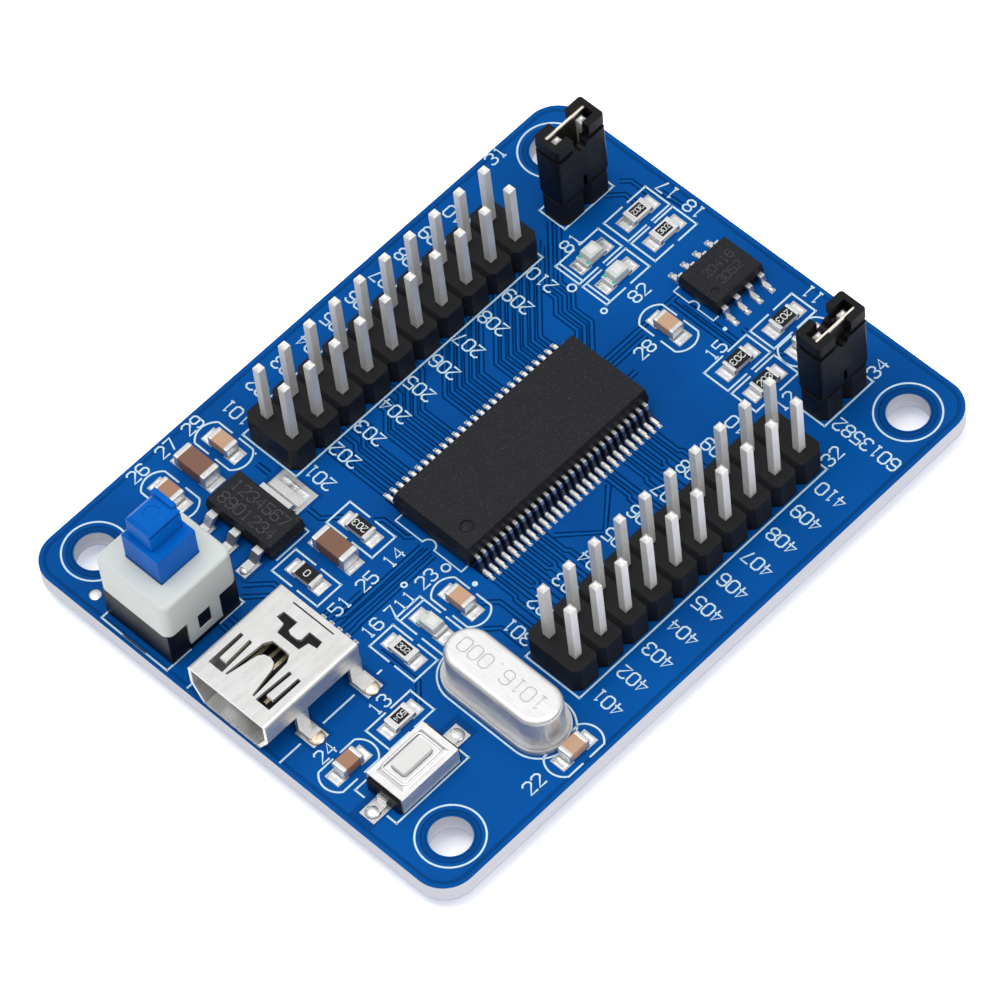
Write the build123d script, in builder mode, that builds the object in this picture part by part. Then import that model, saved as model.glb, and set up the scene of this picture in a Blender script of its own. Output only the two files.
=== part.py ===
from build123d import *
import math
import os

# Small USB microcontroller development board, millimetres, +Z up.
# Origin: centre of the four mounting holes, on the board's underside.
# +X runs along the board, away from the USB socket. +Y points to header A.

os.makedirs("parts", exist_ok=True)

# ---------------------------------------------------------------- board
board_length = 54.6
board_width = 42.0
board_thickness = 1.6
board_corner_radius = 2.54
mount_hole_radius = 1.6
mount_inset_x = 3.95
mount_inset_y = 3.35

left_edge = -board_length / 2
right_edge = board_length / 2
rear_edge = board_width / 2
front_edge = -board_width / 2
top = board_thickness

# ---------------------------------------------------------------- clearances
moulded_gap = 0.01          # a metal piece in its moulded slot
wiping_gap = 0.02           # a spring contact on the pin that it slides along
guide_gap = 0.05            # a moving button or plunger in its guide
drill_gap = 0.18            # a pin in its drilled hole, all round
solder_gap = 0.01           # solder round the pin that it holds

# ---------------------------------------------------------------- pin headers
header_pitch = 2.54
header_columns = 10
header_rows = 2
header_height = 2.54
header_notch = 0.5
header_groove_side = 0.36
header_groove_turn = (0, 45, 0)
pin_side = 0.64
pin_above_housing = 6.0
pin_tail = 1.4              # below the board
pin_tip = 0.2
pin_hole_radius = pin_side / math.sqrt(2) + 0.05
header_centre_x = 3.4
header_a_centre = (header_centre_x, rear_edge - 6.9)
header_b_centre = (header_centre_x, front_edge + 7.17)

# ---------------------------------------------------------------- link headers and caps
link_columns = 2
link_a_centre = (right_edge - 5.87, rear_edge - 7.8)
link_b_centre = (right_edge - 6.15, front_edge + 8.42)
cap_length = 4.9
cap_width = 2.42
cap_height = 6.3
cap_seat_gap = 0.15
cap_end_wall = 0.45
cap_corner = 0.25
cap_neck_inset = 0.16
cap_neck_height = 0.5
cap_lip_height = 1.0
cap_lip_gap = 1.65
cap_notch_radius = 0.45
cap_slot_width = 0.35
cap_slot_height = 1.3
contact_sheet = 0.2
contact_finger_length = 1.4
contact_foot = 0.9
contact_head = 0.12
contact_bend_height = 2.2

# ---------------------------------------------------------------- USB socket
usb_front = left_edge + 0.15
usb_centre_y = -0.03
usb_width = 7.7
usb_height = 3.9
usb_length = 9.1
usb_lift = 0.08
usb_sheet = 0.3
usb_corner = 0.3
usb_waist = 1.9             # height where the sides turn inwards
usb_floor_half_width = 2.75
usb_tab_width = 1.1
usb_tab_places = (3.35, 8.6)
usb_tab_reach = 5.0
usb_tongue_width = 4.4
usb_tongue_thickness = 1.0
usb_tongue_height = 1.9
usb_tongue_start = 1.7
usb_block_start = 5.9
usb_block_end = 8.6
usb_contact_pitch = 0.8
usb_contact_count = 5
usb_contact_width = 0.3
usb_contact_sheet = 0.15
usb_contact_end = 10.4
usb_peg_radius = 0.45
usb_peg_spread = 2.2
usb_peg_place = 6.6
usb_peg_length = 1.3
usb_slot_width = 0.32
usb_rear_slot_place = 8.6
usb_rear_slot_width = 0.12

# ---------------------------------------------------------------- power switch
switch_centre = (left_edge + 4.3, rear_edge - 11.0)
switch_base_size = (6.7, 6.6)
switch_base_height = 3.5
switch_base_floor = 0.8
switch_cavity = 4.9
switch_cover_size = (6.9, 7.0)
switch_cover_top = 7.1
switch_cover_roof = 0.9
switch_cover_wall = 0.8
switch_cover_corner = 0.7
switch_cover_edge = 0.35
switch_clip_width = 3.1
switch_clip_foot = 0.85
switch_window_width = 1.2
switch_window_low = 1.6
switch_window_high = 3.3
switch_tooth_depth = 0.14
stem_size = (3.65, 3.62)
stem_top = 9.8
flange_size = 4.6
flange_thickness = 1.0
head_size = (3.0, 2.4)
head_offset = (0.05, 0.27)
head_top = 12.0
head_edge = 0.3
head_groove_height = 11.35
head_groove_width = 0.2
head_groove_depth = 0.18
head_ridge_width = 0.45
head_ridge_height = 0.3
head_mark_radius = 0.58
head_mark_depth = 0.06
carrier_thickness = 0.4
carrier_width = 3.2
carrier_foot = 2.5
cam_width = 2.4
cam_pocket_width = 1.0
cam_pocket_low = 3.0
wiper_sheet = 0.15
wiper_length = 2.8
wiper_height = 1.0
terminal_width = 0.5
terminal_sheet = 0.25
terminal_pitch = 2.0
terminal_top = 3.0
spring_radius = 1.1
spring_wire = 0.11
spring_turns = 5
post_radius = 0.7
post_height = 0.9
latch_wire_radius = 0.125
latch_wire_reach = 0.6
latch_wire_hook = 0.4
latch_wire_top = 3.4
latch_wire_pivot = 1.15
latch_pivot_gap = 0.03
latch_bearing_depth = 0.7

# ---------------------------------------------------------------- regulator
regulator_centre = (left_edge + 13.3, rear_edge - 10.2)
regulator_body_size = (3.5, 6.6)
regulator_body_height = 1.6
regulator_lift = 0.08
regulator_leg_width = 0.72
regulator_leg_pitch = 2.3
regulator_tab_width = 3.0
regulator_sheet = 0.28
regulator_reach = 3.5
regulator_foot = 0.9
regulator_draft = 9

# ---------------------------------------------------------------- quartz crystal
crystal_centre = (left_edge + 14.35, front_edge + 8.05)
crystal_base_size = (4.65, 11.05)
crystal_base_thickness = 0.45
crystal_seal_size = (2.9, 9.3)
crystal_seal_height = 0.5
crystal_can_size = (3.75, 10.2)
crystal_can_wall = 0.25
crystal_can_top = 3.5
crystal_can_edge = 0.45
crystal_rim_size = (4.35, 10.75)
crystal_rim_thickness = 0.22
crystal_lead_radius = 0.215
crystal_lead_spacing = 4.88
crystal_lead_top = 1.3
crystal_blank_size = (1.9, 8.0)
crystal_blank_thickness = 0.2
crystal_blank_height = 2.1
crystal_clip_width = 1.2
crystal_clip_sheet = 0.15
crystal_clip_top = 2.6

# ---------------------------------------------------------------- reset button
reset_centre = (left_edge + 5.85, front_edge + 8.7)
reset_base_size = (6.0, 3.14)
reset_base_height = 1.4
reset_floor = 0.6
reset_cavity_size = (4.0, 2.4)
reset_cover_size = (5.54, 3.5)
reset_cover_sheet = 0.18
reset_cover_top = 1.78
reset_skirt_foot = 0.15
reset_plateau_size = (4.5, 2.7)
reset_plateau_rise = 0.28
reset_plateau_slope = 0.4
reset_button_size = (2.84, 1.36)
reset_button_top = 2.5
reset_button_corner = 0.25
reset_flange_size = (3.2, 1.74)
reset_dome_radius = 1.15
reset_dome_rise = 0.3
reset_dome_sheet = 0.06
reset_lead_width = 0.9
reset_lead_sheet = 0.2
reset_lead_reach = 4.3
reset_lead_inner = 1.3
reset_lead_blade = 0.12

# ---------------------------------------------------------------- integrated circuits
controller_centre = (2.25, 0.15)
controller_size = (18.42, 7.49)
controller_height = 2.3
controller_lift = 0.2
controller_lead_count = 28
controller_lead_pitch = 0.635
controller_lead_width = 0.26
controller_lead_sheet = 0.2
controller_lead_span = 10.34
controller_foot = 0.75
controller_dimple = (-7.65, -2.15)
memory_centre = (right_edge - 4.44, 0.05)
memory_size = (4.9, 3.9)
memory_height = 1.5
memory_lift = 0.15
memory_lead_count = 4
memory_lead_pitch = 1.27
memory_lead_width = 0.42
memory_lead_sheet = 0.2
memory_lead_span = 6.0
memory_foot = 0.6
memory_dimple = (-1.6, -1.0)
package_draft = 8
controller_dimple_radius = 0.5
memory_dimple_radius = 0.3
dimple_depth = 0.08

# ---------------------------------------------------------------- chip parts
small_chip = (2.0, 1.25)
large_chip = (3.2, 1.6)
resistor_height = 0.5
small_capacitor_height = 0.95
large_capacitor_height = 1.3
led_base_height = 0.35
led_height = 0.8
led_lens_length = 1.3
led_lens_draft = 12
end_cap_length = 0.36
end_cap_plating = 0.02
chip_lift = 0.03
along_x = 0
along_y = 90

# Placement list: centre x, centre y, and the direction of the long axis.
resistor_places = {
    "resistor_1": (right_edge - 3.9, front_edge + 15.4, along_x),
    "resistor_2": (right_edge - 8.83, front_edge + 12.7, along_x),
    "resistor_3": (left_edge + 8.35, front_edge + 12.55, along_x),
    "resistor_4": (left_edge + 17.72, 4.75, along_y),
    "resistor_5": (right_edge - 8.77, front_edge + 15.4, along_x),
    "resistor_6": (left_edge + 12.48, -4.75, along_y),
    "resistor_7": (right_edge - 3.92, rear_edge - 12.13, along_x),
    "resistor_8": (right_edge - 3.92, rear_edge - 14.77, along_x),
    "zero_ohm_link": (left_edge + 12.4, 4.75, along_y),
}
small_capacitor_places = {
    "capacitor_1": (right_edge - 4.2, front_edge + 12.9, along_x),
    "capacitor_2": (left_edge + 14.55, front_edge + 1.75, along_x),
    "capacitor_3": (left_edge + 18.08, -4.88, along_y),
    "capacitor_4": (left_edge + 3.3, front_edge + 12.6, along_x),
    "capacitor_6": (left_edge + 10.78, rear_edge - 3.95, along_y),
    "capacitor_8": (right_edge - 9.85, 0.2, along_y),
    "capacitor_9": (left_edge + 16.3, rear_edge - 3.82, along_y),
}
large_capacitor_places = {
    "capacitor_5": (left_edge + 15.2, 4.7, along_y),
    "capacitor_7": (left_edge + 13.6, rear_edge - 3.9, along_y),
}
led_places = {
    "signal_led_1": (right_edge - 8.9, rear_edge - 12.2, along_x),
    "signal_led_2": (right_edge - 8.95, rear_edge - 14.78, along_x),
    "power_led": (left_edge + 15.3, -4.75, along_y),
}

# ---------------------------------------------------------------- solder joints
solder_height = 0.8
solder_foot_radius = 0.85
solder_head_radius = 0.5


def block(low, high, mode=Mode.ADD):
    """Add or cut a box between two opposite corners."""
    sides = [far - near for near, far in zip(low, high)]
    middle = [(near + far) / 2 for near, far in zip(low, high)]
    with Locations(tuple(middle)):
        Box(*sides, mode=mode)


def plane_at(centre, height, turn=0):
    """Horizontal plane over a placement, at a height above the board."""
    return Plane(origin=(centre[0], centre[1], top + height)).rotated((0, 0, turn))


def grid_places(centre, pitch, columns, rows):
    """Centres of a grid of pins."""
    places = []
    for column in range(columns):
        for row in range(rows):
            x = centre[0] + (column - (columns - 1) / 2) * pitch
            y = centre[1] + (row - (rows - 1) / 2) * pitch
            places.append((x, y))
    return places


header_a_pins = grid_places(header_a_centre, header_pitch, header_columns, header_rows)
header_b_pins = grid_places(header_b_centre, header_pitch, header_columns, header_rows)
link_a_pins = grid_places(link_a_centre, header_pitch, link_columns, 1)
link_b_pins = grid_places(link_b_centre, header_pitch, link_columns, 1)
all_pins = header_a_pins + header_b_pins + link_a_pins + link_b_pins

terminal_offset = switch_cavity / 2 - terminal_sheet / 2
terminal_places = []
for step in (-1, 0, 1):
    for side in (-1, 1):
        place = (switch_centre[0] + step * terminal_pitch, switch_centre[1] + side * terminal_offset)
        terminal_places.append(place)
terminal_hole_radius = math.hypot(terminal_width, terminal_sheet) / 2 + drill_gap / 2

crystal_lead_places = []
for side in (-1, 1):
    crystal_lead_places.append((crystal_centre[0], crystal_centre[1] + side * crystal_lead_spacing / 2))

usb_peg_places = []
for side in (-1, 1):
    usb_peg_places.append((usb_front + usb_peg_place, usb_centre_y + side * usb_peg_spread))

mount_hole_places = []
for x_side in (-1, 1):
    for y_side in (-1, 1):
        place = (x_side * (right_edge - mount_inset_x), y_side * (rear_edge - mount_inset_y))
        mount_hole_places.append(place)

# ================================================================ circuit board
with BuildPart() as circuit_board:
    with BuildSketch():
        RectangleRounded(board_length, board_width, board_corner_radius)
        with Locations(*mount_hole_places):
            Circle(mount_hole_radius, mode=Mode.SUBTRACT)
        with Locations(*all_pins):
            Circle(pin_hole_radius, mode=Mode.SUBTRACT)
        with Locations(*terminal_places):
            Circle(terminal_hole_radius, mode=Mode.SUBTRACT)
        with Locations(*crystal_lead_places):
            Circle(crystal_lead_radius + drill_gap, mode=Mode.SUBTRACT)
        with Locations(*usb_peg_places):
            Circle(usb_peg_radius + guide_gap, mode=Mode.SUBTRACT)
    extrude(amount=board_thickness)
circuit_board.part.label = "circuit_board"
export_step(circuit_board.part, "parts/circuit_board.step")


# ================================================================ pin headers
def make_header_housings(name, centres, columns, rows):
    """Moulded strip, notched and grooved between columns, with a square hole for each pin."""
    hole = pin_side + 2 * moulded_gap
    groove = (header_groove_side, rows * header_pitch, header_groove_side)
    with BuildSketch() as cell:
        Rectangle(header_pitch, rows * header_pitch)
        chamfer(cell.vertices(), header_notch)
    with BuildPart() as housing:
        for centre in centres:
            with BuildSketch(plane_at(centre, 0)):
                with GridLocations(header_pitch, header_pitch, columns, 1):
                    add(cell.sketch)
                with GridLocations(header_pitch, header_pitch, columns, rows):
                    Rectangle(hole, hole, mode=Mode.SUBTRACT)
            extrude(amount=header_height)
            with Locations(plane_at(centre, header_height)):
                with GridLocations(header_pitch, header_pitch, columns - 1, 1):
                    Box(*groove, rotation=header_groove_turn, mode=Mode.SUBTRACT)
    housing.part.label = name
    export_step(housing.part, f"parts/{name}.step")


def make_header_pins(name, places):
    """Square pins with a chamfer at each end, one separate solid each."""
    length = pin_tail + board_thickness + header_height + pin_above_housing
    with BuildPart() as pins:
        with BuildSketch(Plane.XY.offset(-pin_tail)):
            with Locations(*places):
                Rectangle(pin_side, pin_side)
        extrude(amount=length)
        ends = pins.faces().filter_by(Axis.Z)
        chamfer(ends.edges(), pin_tip)
    pins.part.label = name
    export_step(pins.part, f"parts/{name}.step")


make_header_housings("header_a_housing", [header_a_centre], header_columns, header_rows)
make_header_housings("header_b_housing", [header_b_centre], header_columns, header_rows)
make_header_housings("link_housings", [link_a_centre, link_b_centre], link_columns, 1)
make_header_pins("header_a_pins", header_a_pins)
make_header_pins("header_b_pins", header_b_pins)
make_header_pins("link_pins", link_a_pins + link_b_pins)

# ================================================================ pull-off link caps
cap_seat = header_height + cap_seat_gap
cap_top = cap_seat + cap_height
cap_shoulder = cap_top - cap_lip_height - cap_neck_height
contact_half_depth = pin_side / 2 + wiping_gap + contact_sheet
contact_half_length = cap_length / 2 - cap_end_wall - moulded_gap
cap_cavity = (2 * (contact_half_length + moulded_gap), 2 * (contact_half_depth + moulded_gap))


def make_cap_body(name, centre):
    """Open-ended cap: a box, a narrower neck and two lips that face each other."""
    with BuildPart() as body:
        with BuildSketch(plane_at(centre, cap_seat)):
            RectangleRounded(cap_length, cap_width, cap_corner)
        extrude(amount=cap_shoulder - cap_seat)
        with BuildSketch(plane_at(centre, cap_shoulder)):
            inset = 2 * cap_neck_inset
            RectangleRounded(cap_length - inset, cap_width - inset, cap_corner)
        extrude(amount=cap_neck_height)
        with BuildSketch(plane_at(centre, cap_top - cap_lip_height)):
            RectangleRounded(cap_length, cap_width, cap_corner)
        extrude(amount=cap_lip_height)
        with BuildSketch(plane_at(centre, cap_seat)):
            Rectangle(*cap_cavity)
        extrude(amount=cap_height, mode=Mode.SUBTRACT)
        with BuildSketch(plane_at(centre, cap_shoulder)):
            Rectangle(cap_lip_gap, cap_width)
        extrude(amount=cap_neck_height + cap_lip_height, mode=Mode.SUBTRACT)
        end_view = Plane(origin=(centre[0], centre[1], top), x_dir=(1, 0, 0), z_dir=(0, -1, 0))
        with BuildSketch(end_view):
            with Locations((0, cap_shoulder)):
                Circle(cap_notch_radius)
            with Locations((0, cap_seat + cap_slot_height / 2)):
                Rectangle(cap_slot_width, cap_slot_height)
        extrude(amount=cap_width, both=True, mode=Mode.SUBTRACT)
    body.part.label = name
    export_step(body.part, f"parts/{name}.step")


def make_cap_contact(name, centre, side):
    """Bent spring strip: one long plate, and a finger that hugs each pin from the other side."""
    foot = top + cap_seat + contact_foot
    head = top + cap_top - contact_head
    outer = contact_half_depth
    inner = contact_half_depth - contact_sheet
    x, y = centre
    with BuildPart() as contact:
        plate = sorted((y + side * inner, y + side * outer))
        block((x - contact_half_length, plate[0], foot), (x + contact_half_length, plate[1], head))
        finger = sorted((y - side * inner, y - side * outer))
        for end in (-1, 1):
            tip = sorted((x + end * contact_half_length, x + end * (contact_half_length - contact_finger_length)))
            block((tip[0], finger[0], foot), (tip[1], finger[1], head - cap_lip_height))
            bend = sorted((x + end * contact_half_length, x + end * (contact_half_length - contact_sheet)))
            bend_top = foot + contact_bend_height
            block((bend[0], y - outer, foot), (bend[1], y + outer, bend_top))
    contact.part.label = name
    export_step(contact.part, f"parts/{name}.step")


make_cap_body("link_a_cap", link_a_centre)
make_cap_contact("link_a_contact", link_a_centre, 1)
make_cap_body("link_b_cap", link_b_centre)
make_cap_contact("link_b_contact", link_b_centre, -1)

# ================================================================ USB socket
usb_origin = (usb_front, usb_centre_y, top)
usb_section = Plane(origin=usb_origin, x_dir=(0, 1, 0), z_dir=(1, 0, 0))
usb_roof = Plane(origin=(usb_front, usb_centre_y, top + usb_height))
usb_half_width = usb_width / 2

with BuildPart() as usb_shell:
    with BuildSketch(usb_section) as usb_outline:
        with BuildLine():
            Polyline(
                (usb_floor_half_width, usb_lift),
                (usb_half_width, usb_waist),
                (usb_half_width, usb_height),
                (-usb_half_width, usb_height),
                (-usb_half_width, usb_waist),
                (-usb_floor_half_width, usb_lift),
                close=True,
            )
        make_face()
        fillet(usb_outline.vertices(), usb_corner)
        offset(amount=-usb_sheet, mode=Mode.SUBTRACT)
    extrude(amount=usb_length)
    # Solder tabs fold out of the side walls.
    for place in usb_tab_places:
        for side in (-1, 1):
            near_x = usb_front + place - usb_tab_width / 2
            far_x = near_x + usb_tab_width
            wall = sorted((side * (usb_half_width - usb_sheet), side * usb_half_width))
            foot = sorted((side * (usb_half_width - usb_sheet), side * usb_tab_reach))
            block(
                (near_x, usb_centre_y + wall[0], top),
                (far_x, usb_centre_y + wall[1], top + usb_waist + usb_sheet),
            )
            block(
                (near_x, usb_centre_y + foot[0], top),
                (far_x, usb_centre_y + foot[1], top + usb_sheet),
            )
    # The floor stops short of the contact tails.
    block(
        (usb_front + usb_block_start, usb_centre_y - usb_floor_half_width, top),
        (usb_front + usb_length, usb_centre_y + usb_floor_half_width, top + usb_waist / 2),
        mode=Mode.SUBTRACT,
    )
    # Two spring fingers, one central tongue, a rear latch and the rear fold line.
    with BuildSketch(usb_roof):
        for side in (-1, 1):
            with BuildLine():
                Polyline(
                    (1.25, side * 3.0),
                    (4.4, side * 3.0),
                    (4.4, side * (3.0 - usb_slot_width)),
                    (2.0, side * (2.95 - usb_slot_width)),
                    (2.0, side * 2.0),
                    (4.4, side * 2.12),
                    (4.4, side * (2.12 - usb_slot_width)),
                    (1.25, side * 1.65),
                    close=True,
                )
            make_face()
        with BuildLine():
            Polyline(
                (1.34, 1.42), (4.8, 1.2), (5.4, 0.85), (5.4, -0.85), (4.8, -1.2), (1.34, -1.42),
                (1.34, -1.25), (3.8, -0.78), (4.2, -0.5), (4.35, 0.0), (4.2, 0.5), (3.8, 0.78),
                (1.34, 1.25), close=True,
            )
        make_face()
        with BuildLine():
            Polyline(
                (7.0, 2.05), (7.62, 1.95), (7.62, 0.6), (6.75, 0.6), (6.6, 0.3), (6.6, -0.3),
                (6.75, -0.6), (7.62, -0.6), (7.62, -1.85), (7.0, -1.95), (6.9, -1.2), (6.1, -1.05),
                (6.1, 1.1), (6.9, 1.25), close=True,
            )
        make_face()
        with Locations((usb_rear_slot_place, 0)):
            Rectangle(usb_rear_slot_width, 4.0)
    extrude(amount=-usb_sheet, mode=Mode.SUBTRACT)
usb_shell.part.label = "usb_shell"
export_step(usb_shell.part, "parts/usb_shell.step")


def usb_contact_boxes(index, gap, mode):
    """The blade, the drop and the tail of one USB contact."""
    y = usb_centre_y + (index - (usb_contact_count - 1) / 2) * usb_contact_pitch
    low_y = y - usb_contact_width / 2 - gap
    high_y = y + usb_contact_width / 2 + gap
    blade_low = top + usb_tongue_height + usb_tongue_thickness / 2 - usb_contact_sheet - gap
    blade_high = top + usb_tongue_height + usb_tongue_thickness / 2
    tail_start = usb_front + usb_block_end
    block(
        (usb_front + usb_tongue_start + usb_contact_width - gap, low_y, blade_low),
        (tail_start + usb_contact_sheet + gap, high_y, blade_high + gap),
        mode=mode,
    )
    block(
        (tail_start, low_y, top),
        (tail_start + usb_contact_sheet, high_y, blade_high),
        mode=mode,
    )
    block(
        (tail_start, low_y, top),
        (usb_front + usb_contact_end, high_y, top + usb_contact_sheet),
        mode=mode,
    )


with BuildPart() as usb_contacts:
    for index in range(usb_contact_count):
        usb_contact_boxes(index, 0, Mode.ADD)
usb_contacts.part.label = "usb_contacts"
export_step(usb_contacts.part, "parts/usb_contacts.step")

with BuildPart() as usb_insulator:
    inset = usb_sheet + moulded_gap
    block_section = usb_section.offset(usb_block_start)
    with BuildSketch(block_section) as block_outline:
        with BuildLine():
            Polyline(
                (usb_floor_half_width - inset, usb_lift + inset),
                (usb_half_width - 2 * inset, usb_waist),
                (usb_half_width - inset, usb_waist + inset),
                (usb_half_width - inset, usb_height - inset),
                (-usb_half_width + inset, usb_height - inset),
                (-usb_half_width + inset, usb_waist + inset),
                (-usb_half_width + 2 * inset, usb_waist),
                (-usb_floor_half_width + inset, usb_lift + inset),
                close=True,
            )
        make_face()
    extrude(amount=usb_block_end - usb_block_start)
    block(
        (
            usb_front + usb_tongue_start,
            usb_centre_y - usb_tongue_width / 2,
            top + usb_tongue_height - usb_tongue_thickness / 2,
        ),
        (
            usb_front + usb_block_start,
            usb_centre_y + usb_tongue_width / 2,
            top + usb_tongue_height + usb_tongue_thickness / 2,
        ),
    )
    with BuildSketch(Plane.XY.offset(top - usb_peg_length)):
        with Locations(*usb_peg_places):
            Circle(usb_peg_radius)
    extrude(amount=usb_peg_length + usb_lift + inset)
    for index in range(usb_contact_count):
        usb_contact_boxes(index, moulded_gap, Mode.SUBTRACT)
usb_insulator.part.label = "usb_insulator"
export_step(usb_insulator.part, "parts/usb_insulator.step")

# ================================================================ power switch
switch_x, switch_y = switch_centre
flange_top = switch_cover_top - switch_cover_roof - guide_gap
flange_low = flange_top - flange_thickness
carrier_inner = switch_cavity / 2 - terminal_sheet - wiping_gap - wiper_sheet - carrier_thickness
cam_inner = carrier_inner
cam_outer = cam_inner + carrier_thickness
latch_x = switch_x + switch_cavity / 2 - latch_wire_radius - wiping_gap

with BuildPart() as switch_base:
    with BuildSketch(plane_at(switch_centre, 0)):
        Rectangle(*switch_base_size)
    extrude(amount=switch_base_height)
    with BuildSketch(plane_at(switch_centre, switch_base_floor)):
        Rectangle(switch_cavity, switch_cavity)
    extrude(amount=switch_base_height, mode=Mode.SUBTRACT)
    with BuildSketch(plane_at(switch_centre, switch_base_floor)):
        Circle(post_radius)
    extrude(amount=post_height)
    with BuildSketch(plane_at((0, 0), 0)):
        with Locations(*terminal_places):
            Rectangle(terminal_width + 2 * moulded_gap, terminal_sheet)
    extrude(amount=switch_base_floor, mode=Mode.SUBTRACT)
    # Teeth that the cover's clips snap over.
    for side in (-1, 1):
        face = side * switch_base_size[1] / 2
        tooth = sorted((switch_y + face, switch_y + face + side * switch_tooth_depth))
        tooth_half = switch_window_width / 2 - guide_gap
        block(
            (switch_x - tooth_half, tooth[0], top + switch_window_low + guide_gap),
            (switch_x + tooth_half, tooth[1], top + switch_window_high - guide_gap),
        )
    # Bearing hole for the latch wire's foot.
    bearing_x = switch_x + switch_cavity / 2
    with BuildSketch(Plane(origin=(bearing_x, switch_y, top + latch_wire_pivot), z_dir=(1, 0, 0))):
        Circle(latch_wire_radius + latch_pivot_gap)
    extrude(amount=latch_bearing_depth, mode=Mode.SUBTRACT)
switch_base.part.label = "switch_base"
export_step(switch_base.part, "parts/switch_base.step")

with BuildPart() as switch_cover:
    with BuildSketch(plane_at(switch_centre, switch_base_height)):
        RectangleRounded(*switch_cover_size, switch_cover_corner)
    extrude(amount=switch_cover_top - switch_base_height)
    roof_edges = switch_cover.faces().sort_by(Axis.Z)[-1].edges()
    fillet(roof_edges, switch_cover_edge)
    with BuildSketch(plane_at(switch_centre, switch_base_height)):
        wall = 2 * switch_cover_wall
        Rectangle(switch_cover_size[0] - wall, switch_cover_size[1] - wall)
    hollow_height = switch_cover_top - switch_cover_roof - switch_base_height
    extrude(amount=hollow_height, mode=Mode.SUBTRACT)
    with BuildSketch(plane_at(switch_centre, switch_base_height)):
        Rectangle(stem_size[0] + 2 * guide_gap, stem_size[1] + 2 * guide_gap)
    extrude(amount=switch_cover_top, mode=Mode.SUBTRACT)
    for side in (-1, 1):
        inner = side * switch_base_size[1] / 2
        outer = side * switch_cover_size[1] / 2
        clip = sorted((switch_y + inner, switch_y + outer))
        block(
            (switch_x - switch_clip_width / 2, clip[0], top + switch_clip_foot),
            (switch_x + switch_clip_width / 2, clip[1], top + switch_base_height),
        )
        block(
            (switch_x - switch_window_width / 2, clip[0], top + switch_window_low),
            (switch_x + switch_window_width / 2, clip[1], top + switch_window_high),
            mode=Mode.SUBTRACT,
        )
switch_cover.part.label = "switch_cover"
export_step(switch_cover.part, "parts/switch_cover.step")

with BuildPart() as switch_plunger:
    with BuildSketch(plane_at(switch_centre, flange_low)):
        Rectangle(flange_size, flange_size)
    extrude(amount=flange_thickness)
    with BuildSketch(plane_at(switch_centre, flange_low)):
        Rectangle(*stem_size)
    extrude(amount=stem_top - flange_low)
    head_centre = (switch_x + head_offset[0], switch_y + head_offset[1])
    with BuildSketch(plane_at(head_centre, stem_top)):
        Rectangle(*head_size)
    extrude(amount=head_top - stem_top)
    crown_edges = switch_plunger.faces().sort_by(Axis.Z)[-1].edges()
    chamfer(crown_edges, head_edge)
    ridge_right = head_centre[0] + head_size[0] / 2
    block(
        (ridge_right - head_ridge_width, head_centre[1] - head_size[1] / 2 + head_edge, top + stem_top),
        (ridge_right, head_centre[1] + head_size[1] / 2, top + head_top + head_ridge_height),
    )
    groove_face = head_centre[1] - head_size[1] / 2
    block(
        (head_centre[0] - head_size[0] / 2, groove_face, top + head_groove_height),
        (ridge_right, groove_face + head_groove_depth, top + head_groove_height + head_groove_width),
        mode=Mode.SUBTRACT,
    )
    with BuildSketch(plane_at(head_centre, head_top)):
        Circle(head_mark_radius)
    extrude(amount=-head_mark_depth, mode=Mode.SUBTRACT)
    # Legs that carry the wipers, and the cam block with its pocket for the latch wire.
    for side in (-1, 1):
        leg = sorted((switch_y + side * carrier_inner, switch_y + side * (carrier_inner + carrier_thickness)))
        block(
            (switch_x - carrier_width / 2, leg[0], top + carrier_foot),
            (switch_x + carrier_width / 2, leg[1], top + flange_low),
        )
    block(
        (switch_x + cam_inner, switch_y - cam_width / 2, top + carrier_foot),
        (switch_x + cam_outer, switch_y + cam_width / 2, top + flange_low),
    )
    block(
        (switch_x + cam_inner + carrier_thickness / 2, switch_y - cam_pocket_width / 2, top + cam_pocket_low),
        (switch_x + flange_size / 2, switch_y + cam_pocket_width / 2, top + flange_top),
        mode=Mode.SUBTRACT,
    )
switch_plunger.part.label = "switch_plunger"
export_step(switch_plunger.part, "parts/switch_plunger.step")

with BuildPart() as switch_spring:
    coil_low = top + switch_base_floor + spring_wire
    coil_height = flange_low - switch_base_floor - 2 * spring_wire
    with BuildLine(Plane(origin=(switch_x, switch_y, coil_low))) as coil:
        Helix(coil_height / spring_turns, coil_height, spring_radius)
    with BuildSketch(Plane(origin=coil.line @ 0, z_dir=coil.line % 0)):
        Circle(spring_wire)
    sweep(path=coil.line, is_frenet=True)
switch_spring.part.label = "switch_spring"
export_step(switch_spring.part, "parts/switch_spring.step")

with BuildPart() as switch_wipers:
    for side in (-1, 1):
        inner = carrier_inner + carrier_thickness
        strip = sorted((switch_y + side * inner, switch_y + side * (inner + wiper_sheet)))
        block(
            (switch_x - wiper_length / 2, strip[0], top + carrier_foot),
            (switch_x + wiper_length / 2, strip[1], top + carrier_foot + wiper_height),
        )
switch_wipers.part.label = "switch_wipers"
export_step(switch_wipers.part, "parts/switch_wipers.step")

with BuildPart() as switch_terminals:
    with BuildSketch(Plane.XY.offset(-pin_tail)):
        with Locations(*terminal_places):
            Rectangle(terminal_width, terminal_sheet)
    extrude(amount=pin_tail + top + terminal_top)
switch_terminals.part.label = "switch_terminals"
export_step(switch_terminals.part, "parts/switch_terminals.step")

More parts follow.
